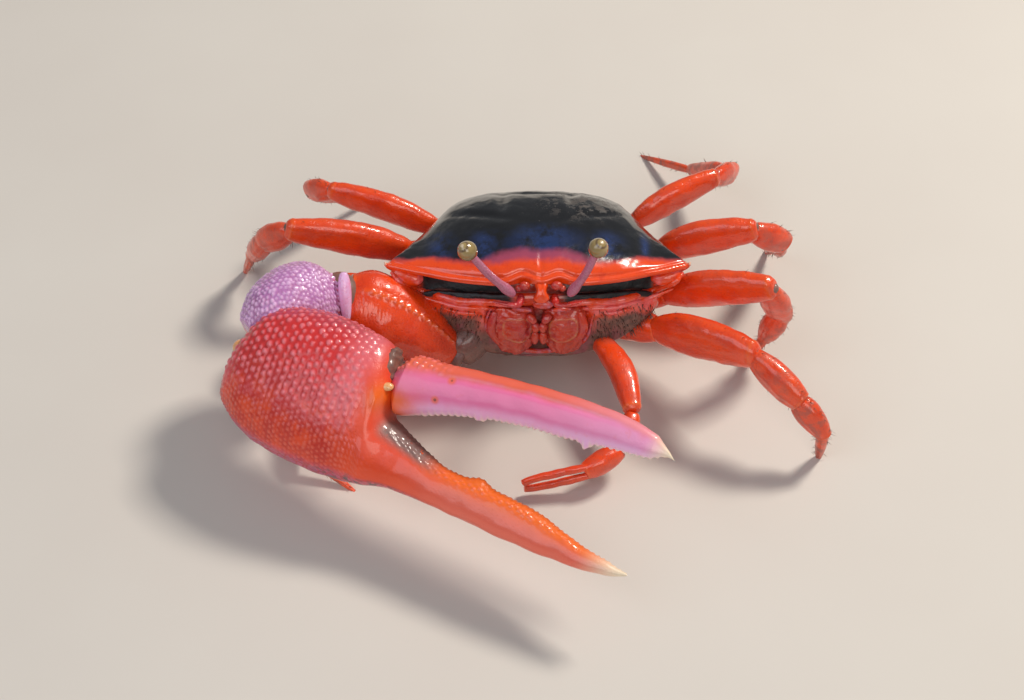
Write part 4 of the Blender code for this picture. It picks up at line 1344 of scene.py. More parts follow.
@dataclass
class Mouth:
    """Third maxillipeds closed like doors, with palps, side pieces and upper lips."""

    half_width: float = 2.75
    half_height: float = 3.1
    thickness: float = 1.0
    centre: Vector = field(default_factory=lambda: Vector((3.0, -9.55, -6.6)))
    shift: float = 0.2
    middle: float = 0.35
    # Bordered panel on each door: distance from the middle and height, then half sizes
    panel: tuple[float, float, float, float] = (2.75, -6.08, 1.65, 1.52)
    edge: tuple[tuple[float, float, float], ...] = (
        (-5.6, -10.0, -3.6), (-6.1, -9.8, -5.6), (-5.5, -9.7, -7.4), (-3.9, -9.6, -8.9),
        (0.3, -9.6, -9.7), (4.5, -9.6, -8.9), (6.0, -9.7, -7.4), (6.5, -9.9, -4.6),
    )
    branch: tuple[tuple[float, float, float], ...] = (
        (5.0, -9.9, -3.9), (5.5, -10.1, -6.3), (4.3, -9.6, -9.0),
    )

    def door(self, side: int) -> bmesh.types.BMesh:
        """One broad plate with a pale raised border, a long furrow and a cross seam.

        Args:
            side: -1 for the crab's right and 1 for its left.

        Returns:
            The closed mesh, in millimetres.
        """
        def place(along: float, angle: float, girth: float) -> Vector:
            """A point of the plate, from its lower to its upper end.

            Args:
                along: place between the poles, 0 to 1.
                angle: turn round the shape.
                girth: 1 at the middle and 0 at the poles.

            Returns:
                The point, in millimetres.
            """
            height = -cos(along * pi)
            y = -self.thickness * power(sin(angle), 0.6) * girth ** 0.4
            x = self.half_width * power(cos(angle), 0.5) * girth ** 0.3
            y -= 0.45 * bell(x * side, -0.6, 0.9) * smooth(0.0, 0.3, sin(angle))
            lean = 1.0 - 0.28 * max(0.0, -height) ** 2.0
            return BODY @ Vector((
                side * self.centre.x + self.shift + x * lean,
                self.centre.y + y + 0.15 * abs(x),
                self.centre.z + self.half_height * height,
            ))

        def relief(spot: Spot) -> tuple[float, float, float]:
            """The border, furrow and seam.

            Args:
                spot: where the point lies.

            Returns:
                How far it is raised, then a value for each mark.
            """
            here = BODY.inverted() @ spot.co
            out, up, wide, high = self.panel
            front = smooth(0.0, 0.5, sin(spot.angle))
            across, tall = abs(side * (here.x - self.middle) - out) / wide, abs(here.z - up) / high
            off = ((across ** 3.0 + tall ** 3.0) ** (1.0 / 3.0) - 1.0) * wide
            border = bell(off, 0.0, 0.1) * front
            seam = bell(here.z, up + high - 0.55, 0.09) * smooth(0.0, -0.2, off) * front
            broken = smooth(-0.3, 0.3, noise.noise(spot.co * 1.3))
            rise = 0.13 * border - 0.1 * seam
            rise = rise + 0.2 * noise.noise(spot.co * 1.5) + 0.06 * noise.noise(spot.co * 4.0)
            return rise, border * (0.15 + 0.35 * broken), 0.0

        return pulled(90, 92, place, relief, ("rim", "knob"))

    def palp(self, side: int) -> list[bmesh.types.BMesh]:
        """The jointed palp beside the midline.

        Args:
            side: -1 for the crab's right and 1 for its left.

        Returns:
            A mesh for each joint.
        """
        x = self.shift + side * 0.42
        top, knee = Vector((x + side * 0.9, -10.6, -3.9)), Vector((x, -10.95, -4.9))
        low, tip = Vector((x, -11.05, -6.1)), Vector((x + side * 0.1, -10.7, -7.9))
        thick = Keys((0.0, 0.45, 0.45), (0.5, 0.5, 0.5), (1.0, 0.4, 0.4))
        return [
            Limb([BODY @ a, BODY @ b], thick, SIDEWAYS, 0.45, 1.0).mesh(16, 20)
            for a, b in ((top, knee), (knee, low), (low, tip))
        ]

    def side_piece(self, side: int) -> bmesh.types.BMesh:
        """The slender outer branch beside the plate.

        Args:
            side: -1 for the crab's right and 1 for its left.

        Returns:
            The closed mesh, in millimetres.
        """
        points = [Vector((side * x, y, z)) for x, y, z in self.branch]
        sizes = Keys((0.0, 0.5, 0.4), (0.5, 0.55, 0.45), (1.0, 0.4, 0.35))
        return Limb([BODY @ point for point in points], sizes, SIDEWAYS, 0.4, 1.0).mesh(30, 20)

    def lips(self) -> bmesh.types.BMesh:
        """The ridged plate above the mouth, in two lobes each side of a middle knob.

        Returns:
            The closed mesh, in millimetres.
        """
        parts = [ball(BODY @ Vector((0.65, -10.85, -2.4)), 0.62, 3, Vector((2.0, 0.8, 1.0)))]
        for side in (-1, 1):
            points = [
                Vector((0.45 + side * 1.15, -10.95, -3.15)),
                Vector((0.45 + side * 2.3, -10.85, -3.05)),
                Vector((0.45 + side * 3.5, -10.5, -3.2)),
            ]
            sizes = Keys((0.0, 0.28, 0.26), (0.6, 0.3, 0.28), (1.0, 0.18, 0.18))
            lip = Limb([BODY @ point for point in points], sizes, LENGTHWAYS, 0.4, 1.0)
            parts.append(lip.mesh(30, 16))
        return joined(parts)

    def border(self) -> bmesh.types.BMesh:
        """The thin raised edge of the mouth's frame, round below the doors.

        Returns:
            The closed mesh, in millimetres.
        """
        sizes = Keys((0.0, 0.15, 0.15), (0.2, 0.3, 0.28), (0.8, 0.3, 0.28), (1.0, 0.15, 0.15))
        points = [BODY @ Vector(place) for place in self.edge]
        return Limb(points, sizes, LENGTHWAYS, 0.4, 1.0).mesh(120, 16)

    def build(self) -> None:
        """Make both doors with their palps, and the lips."""
        for name, side in SIDES:
            parts = [self.door(side), *self.palp(side), self.side_piece(side)]
            node = f"maxilliped_{name}"
            put(f"{node}_plate", joined(parts), MOUTH_SHELL, [node])
        put("mouth_lips", joined([self.lips(), self.border()]), LIP_SKIN)


@dataclass
class Eyes:
    """Eyestalks raised from beside the front, their eyes, and the antennae beneath."""

    radius: float = 1.15
    roots: Vector = field(default_factory=lambda: Vector((3.27, -11.2, -0.8)))
    middle: float = 0.45
    right: Vector = field(default_factory=lambda: Vector((-8.0, -16.2, 8.0)))
    left: Vector = field(default_factory=lambda: Vector((6.7, -16.1, 8.3)))
    # Half thickness of a stalk, by place along it
    stalk_sizes: tuple[tuple[float, float], ...] = (
        (0.0, 0.8), (0.15, 0.75), (0.3, 0.52), (0.8, 0.5), (1.0, 0.62),
    )

    def stalk(self, side: int, eye: Vector) -> bmesh.types.BMesh:
        """A slender stalk that swells at its root and under the eye.

        Args:
            side: -1 for the crab's right and 1 for its left.
            eye: the eye's middle in the body's frame.

        Returns:
            The closed mesh, in millimetres.
        """
        root = Vector((self.middle + side * self.roots.x, self.roots.y, self.roots.z))
        middle = (root + eye) / 2.0 + Vector((side * 0.2, -0.2, -0.1))
        sizes = Keys(*[(at, half, half) for at, half in self.stalk_sizes])
        return Limb([BODY @ root, BODY @ middle, BODY @ eye], sizes, LENGTHWAYS, 0.5, 1.0).mesh(60, 28)

    def eye(self, side: int, eye: Vector) -> bmesh.types.BMesh:
        """The cornea that caps a stalk, with its place along as the mark top.

        Args:
            side: -1 for the crab's right and 1 for its left.
            eye: the eye's middle in the body's frame.

        Returns:
            The closed mesh, in millimetres.
        """
        root = Vector((self.middle + side * self.roots.x, self.roots.y, self.roots.z))
        lie = (BODY @ eye - BODY @ root).normalized()
        ends = [BODY @ eye - lie * self.radius * 1.1, BODY @ eye + lie * self.radius * 1.25]
        sizes = Keys((0.0, 1.0, 1.0), (0.5, self.radius, self.radius), (1.0, 1.0, 1.0))

        def relief(spot: Spot) -> tuple[float, float]:
            """A faint collar where the cornea meets the stalk."""
            return -0.06 * bell(spot.along, 0.2, 0.05), spot.along

        return Limb(ends, sizes, LENGTHWAYS, 1.0, 1.0).mesh(48, 48, relief, ("top",))

    def feeler(self, side: int) -> bmesh.types.BMesh:
        """A short antenna: three stout joints and a thin ringed whip.

        Args:
            side: -1 for the crab's right and 1 for its left.

        Returns:
            The closed mesh, in millimetres.
        """
        root = Vector((side * 1.9, -10.1, -1.6))
        knee = root + Vector((side * 0.6, -1.5, -0.4))
        tip = knee + Vector((side * 2.88, -0.2, 0.6))
        sizes = Keys((0.0, 0.6, 0.6), (0.4, 0.4, 0.4), (1.0, 0.12, 0.12))

        def relief(spot: Spot) -> tuple[float, float, float]:
            """Rings along the whip."""
            return 0.03 * cos(2.0 * pi * spot.u / 0.34), 0.0, 0.0

        line = [BODY @ root, BODY @ knee, BODY @ tip]
        return Limb(line, sizes, LENGTHWAYS, 0.4, 1.0).mesh(60, 20, relief, ("rim", "knob"))

    def pit(self, side: int) -> bmesh.types.BMesh:
        """The folded first antenna in its round pit, and the pit's thin rim.

        Args:
            side: -1 for the crab's right and 1 for its left.

        Returns:
            The closed mesh, in millimetres.
        """
        lump = Vector((0.35 + side * 1.88, -10.4, -0.05))
        parts = [
            ball(BODY @ lump, 0.62, 3, Vector((1.1, 0.8, 0.95))),
            ball(BODY @ (lump + Vector((side * 0.7, 0.1, -0.4))), 0.42, 3),
        ]
        arc = [
            Vector((0.35 + side * (2.2 - 1.3 * cos(turn)), -9.95, 1.0 * sin(turn)))
            for turn in (-0.2, 0.4, 1.0, pi / 2.0, 2.15, 2.75, 3.3)
        ]
        sizes = Keys((0.0, 0.13, 0.13), (1.0, 0.13, 0.13))
        parts.append(Limb([BODY @ point for point in arc], sizes, LENGTHWAYS, 0.4, 1.0).mesh(60, 12))
        return joined(parts)

    def build(self) -> None:
        """Make both eyes with what stands beside them."""
        for (name, side), eye in zip(SIDES, (self.right, self.left)):
            stalk, cornea, whip = f"eyestalk_{name}", f"eye_{name}", f"antenna_{name}"
            put(f"{stalk}_skin", self.stalk(side, eye), STALK_SKIN, [stalk])
            put(f"{cornea}_cornea", self.eye(side, eye), Cornea("cornea"), [cornea])
            put(f"{whip}_whip", self.feeler(side), FEELER_SHELL, [whip])
            put(f"antennule_{name}", self.pit(side), MOUTH_SHELL)


@dataclass
class Abdomen:
    """The tapered tail of seven ringed plates folded under the breast."""

    plates: int = 7
    rear_half_width: float = 4.2
    tip_half_width: float = 1.2
    rear_y: float = 9.2
    tip_y: float = -3.5
    thickness: float = 0.9
    trunk: Trunk = field(default_factory=Trunk)

    def build(self) -> None:
        """Make the tail."""
        rows = [row for row in self.trunk.stations.rows if row[0] >= 0.28]
        bottoms = Keys(*[(row[1], row[4]) for row in rows])

        def place(along: float, angle: float, girth: float) -> Vector:
            """A point of the tail, from its root at the rear to its tip.

            Args:
                along: place between the poles, 0 to 1.
                angle: turn round the shape.
                girth: 1 at the middle and 0 at the poles.

            Returns:
                The point, in millimetres.
            """
            y = self.rear_y + (self.tip_y - self.rear_y) * along
            half = self.rear_half_width + (self.tip_half_width - self.rear_half_width) * along ** 0.7
            half *= 1.0 - 0.08 * abs(cos(along * pi * self.plates))
            z = bottoms.at(y)[0] - 0.45 * self.thickness * power(sin(angle), 0.6) * girth ** 0.3 - 0.2
            return BODY @ Vector((half * girth ** 0.3 * power(cos(angle), 0.7), y, z))

        def relief(spot: Spot) -> tuple[float, float, float]:
            """Grooves between the plates."""
            seam = abs(sin(spot.along * pi * self.plates + pi / 2.0)) ** 30
            return -0.16 * seam, 0.3 * seam, 0.0

        tail = pulled(98, 48, place, relief, ("rim", "knob"))
        put("abdomen_plates", tail, UNDER_SHELL, ["abdomen"])


@dataclass
class GiantClaw:
    """The giant claw of the right side: its arm, swollen palm and two long fingers."""

    frame: Matrix = field(default_factory=claw_frame)
    palm_rear: float = -11.2
    palm_front: float = 9.4
    tip: float = 42.4
    # Distance along, upper edge, lower edge, outward bulge, inward bulge
    palm: Keys = Keys(
        (-11.2, -1.2, -1.4, 0.0, 0.0), (-10.6, 2.2, -4.4, 2.6, 1.8), (-9.0, 6.2, -6.2, 4.0, 2.8),
        (-6.0, 8.4, -7.6, 5.0, 3.6), (-1.0, 9.4, -8.2, 5.6, 4.0), (4.0, 9.3, -8.1, 5.3, 3.8),
        (7.0, 8.7, -7.7, 4.7, 3.4), (8.6, 6.4, -7.4, 4.2, 3.1), (9.6, 2.2, -7.1, 3.9, 2.9),
        (11.4, 0.9, -6.5, 3.2, 2.6), (14.0, -0.1, -6.1, 2.5, 2.2), (18.0, -1.3, -5.9, 2.0, 1.8),
        (24.0, -1.3, -5.9, 1.8, 1.6), (30.0, -1.6, -5.8, 1.6, 1.4), (36.0, -2.8, -5.4, 1.2, 1.1),
        (40.0, -3.3, -4.7, 0.8, 0.7), (42.4, -3.5, -3.8, 0.25, 0.25),
    )
    # Distance along, upper edge, lower edge, half thickness
    finger: Keys = Keys(
        (7.4, 6.6, 4.4, 1.4), (8.4, 8.4, 2.6, 2.5), (10.6, 9.0, 1.9, 2.7), (13.6, 9.4, 3.2, 2.3),
        (18.0, 10.2, 4.9, 2.0), (24.0, 11.2, 6.4, 1.8), (30.0, 11.9, 7.3, 1.6), (35.0, 12.1, 8.2, 1.35),
        (39.0, 11.7, 8.9, 1.0), (41.4, 11.0, 9.3, 0.6), (42.6, 10.0, 9.4, 0.25),
    )
    # How much of the mesh's rings the palm has, before the fixed finger
    palm_share: float = 0.55
    palm_tooth_pitch: float = 0.7
    palm_bump_at: float = 22.8
    finger_tooth_pitch: float = 0.75
    middle_tooth_at: float = 19.9
    large_tooth_at: float = 32.4
    socket: Vector = field(default_factory=lambda: Vector((-7.2, -7.2, -8.6)))
    elbow: Vector = field(default_factory=lambda: at_home(-9.8, -11.4, 7.0))
    wrist: Vector = field(default_factory=lambda: at_home(-23.3, -9.1, 14.4))
    knob: Vector = field(default_factory=lambda: at_home(-33.4, -15.4, 14.4))
    crest: tuple[Vector, Vector] = (at_home(-22.4, -13.0, 14.4), at_home(-22.65, -9.8, 19.4))
    condyle: Vector = field(default_factory=lambda: at_home(-34.1, -17.6, 14.8))
    # The skin between palm and finger, and the pin on it, in the claw's own frame
    hinge: tuple[Vector, Vector] = (Vector((7.9, 2.9, 0.2)), Vector((7.6, 8.9, 0.2)))
    hinge_pin: Vector = field(default_factory=lambda: Vector((9.15, 4.65, 2.6)))
    # How many rings and sides the largest meshes have
    palm_mesh: tuple[int, int] = (330, 252)
    finger_mesh: tuple[int, int] = (330, 120)
    coarse: Knobs = Knobs(0.98, 0.32, 0.17, 0.15, 3)
    fine: Knobs = Knobs(0.68, 0.23, 0.1, 0.15, 5)
    grains: Knobs = Knobs(0.66, 0.27, 0.17, 0.2, 8)

    def palm_place(self, along: float, angle: float, girth: float) -> Vector:
        """A point of the palm and fixed finger.

        Args:
            along: place between the poles, 0 to 1.
            angle: turn round the shape.
            girth: 1 at the middle and 0 at the poles; not used here.

        Returns:
            The point, in millimetres.
        """
        share, at_split = self.palm_share, self.palm_front + 1.0
        if along < share:
            at = self.palm_rear + (at_split - self.palm_rear) * along / share
        else:
            at = at_split + (self.tip - at_split) * (along - share) / (1.0 - share)
        top, bottom, out, inn = self.palm.at(at)
        across = (top + bottom) / 2.0 + (top - bottom) / 2.0 * power(sin(angle), 0.9)
        proud = (out if cos(angle) > 0 else inn) * power(cos(angle), 0.85)
        return self.frame @ Vector((at, across, proud))

    def palm_relief(self, spot: Spot) -> tuple[float, ...]:
        """Tubercles, the lobe at the hinge, margins and the row of teeth.

        Args:
            spot: where the point lies.

        Returns:
            How far it is raised, then a value for each mark.
        """
        at, up, _ = self.frame.inverted() @ spot.co
        high = sin(spot.angle)
        outer = smooth(-0.5, 0.1, cos(spot.angle))
        lower = smooth(0.05, -0.45, high)
        back = smooth(8.6, 6.0, at + 1.5 * high)
        coarse = self.coarse.dome(spot.u, spot.v) * back * (1.0 - lower) * outer
        fine = self.fine.dome(spot.u, spot.v) * smooth(12.0, 7.0, at) * lower
        fine *= smooth(-0.98, -0.85, high)
        rise = self.coarse.height * coarse + self.fine.height * fine * outer
        lobe = bell(at, 8.8, 0.9) * bell(up, 3.4, 1.6) * outer
        rise += lobe * (0.4 + 0.08 * cos(2.0 * pi * (at + 0.35 * up) / 0.8))
        edge = bell(spot.angle, pi / 2.0, 0.42) * smooth(10.6, 12.0, at) * smooth(42.4, 40.0, at)
        tooth = max(0.0, cos(2.0 * pi * at / self.palm_tooth_pitch)) ** 0.7
        rise += 0.12 * edge * tooth + 0.5 * edge * bell(at, self.palm_bump_at, 1.2)
        grain = bell(spot.angle, pi / 2.0 - 0.75, 0.3) * smooth(10.0, 13.0, at) * smooth(40.0, 30.0, at)
        beads = self.fine.dome(spot.u, spot.v) * grain
        rise += 0.12 * beads
        furrow = 0.2 * bell(high, -0.93, 0.05) * outer * smooth(14.0, 4.0, at)
        rise += 0.12 * noise.noise(spot.co * 0.5) - furrow
        knob = max(coarse, fine * 0.8 * outer, beads * 0.6)
        rim = max(lobe * 0.9, edge * 0.7)
        return rise, knob, rim, at, high

    def finger_place(self, along: float, angle: float, girth: float) -> Vector:
        """A point of the movable finger.

        Args:
            along: place between the poles, 0 to 1.
            angle: turn round the shape.
            girth: 1 at the middle and 0 at the poles.

        Returns:
            The point, in millimetres.
        """
        rear, tip = self.finger.rows[0][0], self.finger.rows[-1][0]
        at = rear + (tip - rear) * along
        top, bottom, thick = self.finger.at(at)
        full = min(1.0, girth * 4.0)
        across = (top + bottom) / 2.0 + (top - bottom) / 2.0 * power(sin(angle), 0.9) * full
        return self.frame @ Vector((at, across, thick * power(cos(angle), 0.85) * full))

    def finger_relief(self, spot: Spot) -> tuple[float, ...]:
        """Teeth along the lower edge, knobs near the hinge and a long shallow furrow.

        Args:
            spot: where the point lies.

        Returns:
            How far it is raised, then a value for each mark.
        """
        at = (self.frame.inverted() @ spot.co).x
        edge = bell(spot.angle, -pi / 2.0, 0.42) * smooth(12.4, 13.4, at) * smooth(42.0, 40.0, at)
        tooth = max(0.0, cos(2.0 * pi * at / self.finger_tooth_pitch)) ** 0.7
        rise = 0.16 * edge * tooth + 0.75 * edge * bell(at, self.large_tooth_at, 0.6)
        rise += 0.4 * edge * bell(at, self.middle_tooth_at, 0.6)
        crown = smooth(17.0, 11.0, at) * smooth(0.35, 0.8, sin(spot.angle))
        knob = self.coarse.dome(spot.u, spot.v) * crown
        furrow = 0.14 * bell(spot.angle, 0.5, 0.18) * smooth(12.0, 16.0, at) * smooth(38.0, 30.0, at)
        rise += 0.18 * knob - furrow
        rise += 0.08 * noise.noise(spot.co * 0.5)
        return rise, knob, edge * tooth * 0.8, at, sin(spot.angle)

    def merus_relief(self, spot: Spot) -> tuple[float, float, float]:
        """A row of tubercles with fine striae below it, and a raised end.

        Args:
            spot: where the point lies.

        Returns:
            How far it is raised, then a value for each mark.
        """
        row = bell(spot.angle, radians(67.5), 0.07) * smooth(2.5, 3.5, spot.u)
        row *= smooth(17.5, 15.5, spot.u)
        knob = row * max(0.0, cos(2.0 * pi * spot.u / 1.05)) ** 0.8
        band = bell(spot.angle, radians(88.0), 0.22) * smooth(3.0, 5.0, spot.u)
        lines = band * (0.5 + 0.5 * cos(2.0 * pi * (spot.u + spot.v * 0.35) / 0.5))
        end = bell(spot.along, 0.9, 0.02)
        rise = 0.24 * knob + 0.06 * lines + 0.1 * row + 0.14 * end + 0.12 * noise.noise(spot.co * 0.6)
        return rise, knob, max(row * 0.5, end * 0.4)

    def carpus_relief(self, spot: Spot) -> tuple[float, float, float]:
        """Grains over the outer dome and a serrated edge towards the merus.

        Args:
            spot: where the point lies.

        Returns:
            How far it is raised, then a value for each mark.
        """
        outer = smooth(-0.6, 0.0, sin(spot.angle) + cos(spot.angle))
        knob = self.grains.dome(spot.u, spot.v) * outer * smooth(0.97, 0.9, spot.along)
        edge = bell(spot.along, 0.2, 0.025) * outer
        saw = edge * (0.5 + 0.5 * cos(2.0 * pi * spot.v / 0.8))
        inward = smooth(0.1, -0.5, cos(spot.angle - 0.9)) * 0.9
        rim = max(inward, edge * 0.6, smooth(0.12, 0.05, spot.along))
        return self.grains.height * knob + 0.25 * saw, knob, rim * (1.0 - knob)

    def build_arm(self) -> None:
        """Make the ischium, merus and carpus with the crest, condyle and joint skins."""
        root = BODY @ self.socket + Vector((1.5, 1.5, 0.8))
        upright = (self.wrist - self.elbow).cross(Vector((0.3, -0.75, 0.6))).normalized()
        level = upright.cross((self.wrist - self.elbow).normalized())
        marks = ("knob", "rim")
        base = Limb([root, self.elbow], Keys((0.0, 2.3, 2.3), (1.0, 2.5, 2.3)), upright).mesh(40, 60)
        put("claw_ischium_shell", base, UNDER_SHELL, ["claw_ischium"])
        middle = (self.elbow + self.wrist) / 2.0 + Vector((0.0, 0.4, 0.4))
        sizes = Keys((0.0, 2.6, 2.2), (0.35, 4.0, 2.8), (0.8, 4.9, 3.3), (1.0, 4.3, 3.0))
        merus = Limb([self.elbow, middle, self.wrist], sizes, upright)
        shell = merus.mesh(130, 152, self.merus_relief, marks)
        put("claw_merus_shell", shell, ARM_SHELL, ["claw_merus"])
        sizes = Keys((0.0, 0.6, 0.6), (0.7, 0.85, 0.8), (1.0, 0.7, 0.7))
        crest = Limb(self.crest, sizes, level, 0.45).mesh(40, 32)
        put("claw_merus_crest", crest, CREST_SHELL)
        crown = (self.wrist + self.knob) / 2.0 + Vector((0.0, 0.6, 1.0))
        start = self.wrist + (self.knob - self.wrist) * 0.06
        sizes = Keys((0.0, 3.4, 3.2), (0.35, 5.0, 4.2), (0.75, 4.6, 4.2), (1.0, 3.2, 3.2))
        carpus = Limb([start, crown, self.knob], sizes, upright)
        shell = carpus.mesh(150, 192, self.carpus_relief, marks)
        put("claw_carpus_shell", shell, WRIST_SHELL, ["claw_carpus"])
        condyle = ball(self.condyle, 1.25, 4, Vector((1.0, 0.8, 0.9)))
        put("claw_condyle", condyle, CREAM_SHELL)
        inner = past(self.knob, self.wrist, 0.6)
        wrist_line = [past(self.wrist, inner, 1.4), past(inner, self.wrist, 1.2)]
        wrist_sizes = Keys((0.0, 2.9, 2.6), (1.0, 3.2, 2.9))
        elbow_line = [past(self.elbow, self.wrist, -15.0), past(self.wrist, self.elbow, 0.9)]
        elbow_sizes = Keys((0.0, 2.0, 1.6), (1.0, 2.4, 2.0))
        skins = [
            Limb(line, sizes, upright).mesh(30, 52)
            for line, sizes in ((wrist_line, wrist_sizes), (elbow_line, elbow_sizes))
        ]
        put("claw_joint_skins", joined(skins), JOINT_SKIN)

    def build_pincers(self) -> None:
        """Make the palm with its fixed finger, the movable finger and the hinge between."""
        marks = ("knob", "rim", "far", "high")
        palm = pulled(*self.palm_mesh, self.palm_place, self.palm_relief, marks)
        put("claw_palm_shell", palm, PalmShell("palm_shell"), ["claw_palm"])
        finger = pulled(*self.finger_mesh, self.finger_place, self.finger_relief, marks)
        put("claw_finger_shell", finger, FingerShell("finger_shell"), ["claw_finger"])
        line = [self.frame @ place for place in self.hinge]
        sizes = Keys((0.0, 2.1, 1.0), (0.5, 2.3, 1.15), (1.0, 1.1, 0.5))
        hinge = Limb(line, sizes, self.frame.to_3x3() @ Vector((0.0, 0.0, 1.0)))
        put("claw_hinge_skin", hinge.mesh(60, 80, wrinkled), JOINT_SKIN)
        pin = ball(self.frame @ self.hinge_pin, 0.6, 3, Vector((1.25, 0.9, 0.75)))
        put("claw_hinge_condyle", pin, CREAM_SHELL)

    def build(self) -> None:
        """Make the whole claw."""
        self.build_arm()
        self.build_pincers()


@dataclass
class SmallClaw:
    """The small claw folded below the mouth, with two closed spoon-tipped fingers."""

    socket: Vector = field(default_factory=lambda: Vector((6.8, -7.2, -8.6)))
    elbow: Vector = field(default_factory=lambda: at_home(11.2, -20.8, 7.2))
    wrist: Vector = field(default_factory=lambda: at_home(9.9, -24.4, 4.6))
    knuckle: Vector = field(default_factory=lambda: at_home(5.4, -26.6, 3.2))
    tip: Vector = field(default_factory=lambda: at_home(-1.7, -27.6, 1.9))
    spread: float = 0.86
    root_sink: float = 1.2

    def build(self) -> None:
        """Make the arm, wrist, palm and both fingers."""
        marks = ("rim", "mud")
        socket = BODY @ self.socket
        across = across_of(socket, self.elbow)
        bow = (socket + self.elbow) / 2.0 + Vector((0.9, 0.0, 0.4))
        sizes = Keys((0.0, 1.2, 1.2), (0.5, 1.6, 1.5), (1.0, 1.35, 1.3))
        arm = Limb([socket, bow, self.elbow], sizes, across).mesh(70, 40, shell_relief, marks)
        sizes = Keys((0.0, 1.0, 1.0), (0.6, 1.3, 1.4), (1.0, 1.2, 1.3))
        wrist = Limb([self.elbow, self.wrist], sizes, across).mesh(40, 36, shell_relief, marks)
        across = across_of(self.wrist, self.tip)
        sizes = Keys((0.0, 1.0, 1.1), (0.5, 1.25, 1.5), (1.0, 1.05, 1.4))
        palm = Limb([self.wrist, self.knuckle], sizes, across).mesh(50, 40, shell_relief, marks)
        forward = (self.tip - self.knuckle).normalized()
        upward = across.cross(forward)
        upward *= copysign(1.0, upward.z)
        sizes = Keys((0.0, 0.5, 0.62), (0.6, 0.42, 0.5), (1.0, 0.5, 0.62))
        fingers = []
        for way in (-1, 1):
            offset = upward * (self.spread * way)
            root = self.knuckle + offset * 0.95 - forward * self.root_sink
            line = [
                root, self.knuckle.lerp(self.tip, 0.45) + offset * 1.05,
                self.knuckle.lerp(self.tip, 0.85) + offset * 0.95, self.tip + offset * 0.55,
            ]
            fingers.append(Limb(line, sizes, across, 0.3, 1.0).mesh(70, 28, shell_relief, marks))
        shells = {"arm": arm, "wrist": wrist, "palm": joined([palm, fingers[0]]), "finger": fingers[1]}
        for part, shell in shells.items():
            put(f"small_claw_{part}_shell", shell, LEG_SHELL, [f"small_claw_{part}"])


def wrinkled(spot: Spot) -> tuple[float]:
    """The folds of soft joint skin."""
    fold = 0.07 * sin(6.0 * spot.u + 3.0 * noise.noise(spot.co * 0.8))
    return (fold + 0.1 * noise.noise(spot.co * 1.4),)


def shell_relief(spot: Spot) -> tuple[float, float, float]:
    """The relief of a plain limb segment: a raised end ring and slight unevenness."""
    ring = bell(spot.along, 0.86, 0.03)
    return 0.06 * ring + 0.07 * noise.noise(spot.co * 0.9), 0.5 * ring, 0.3


class LegPart(Enum):
    """The segments of a walking leg, from the body outwards, with how muddy each is."""

    BASE = ("base", 0.1)
    MERUS = ("merus", 0.15)
    CARPUS = ("carpus", 0.45)
    PROPODUS = ("propodus", 0.75)
    DACTYL = ("dactyl", 1.0)


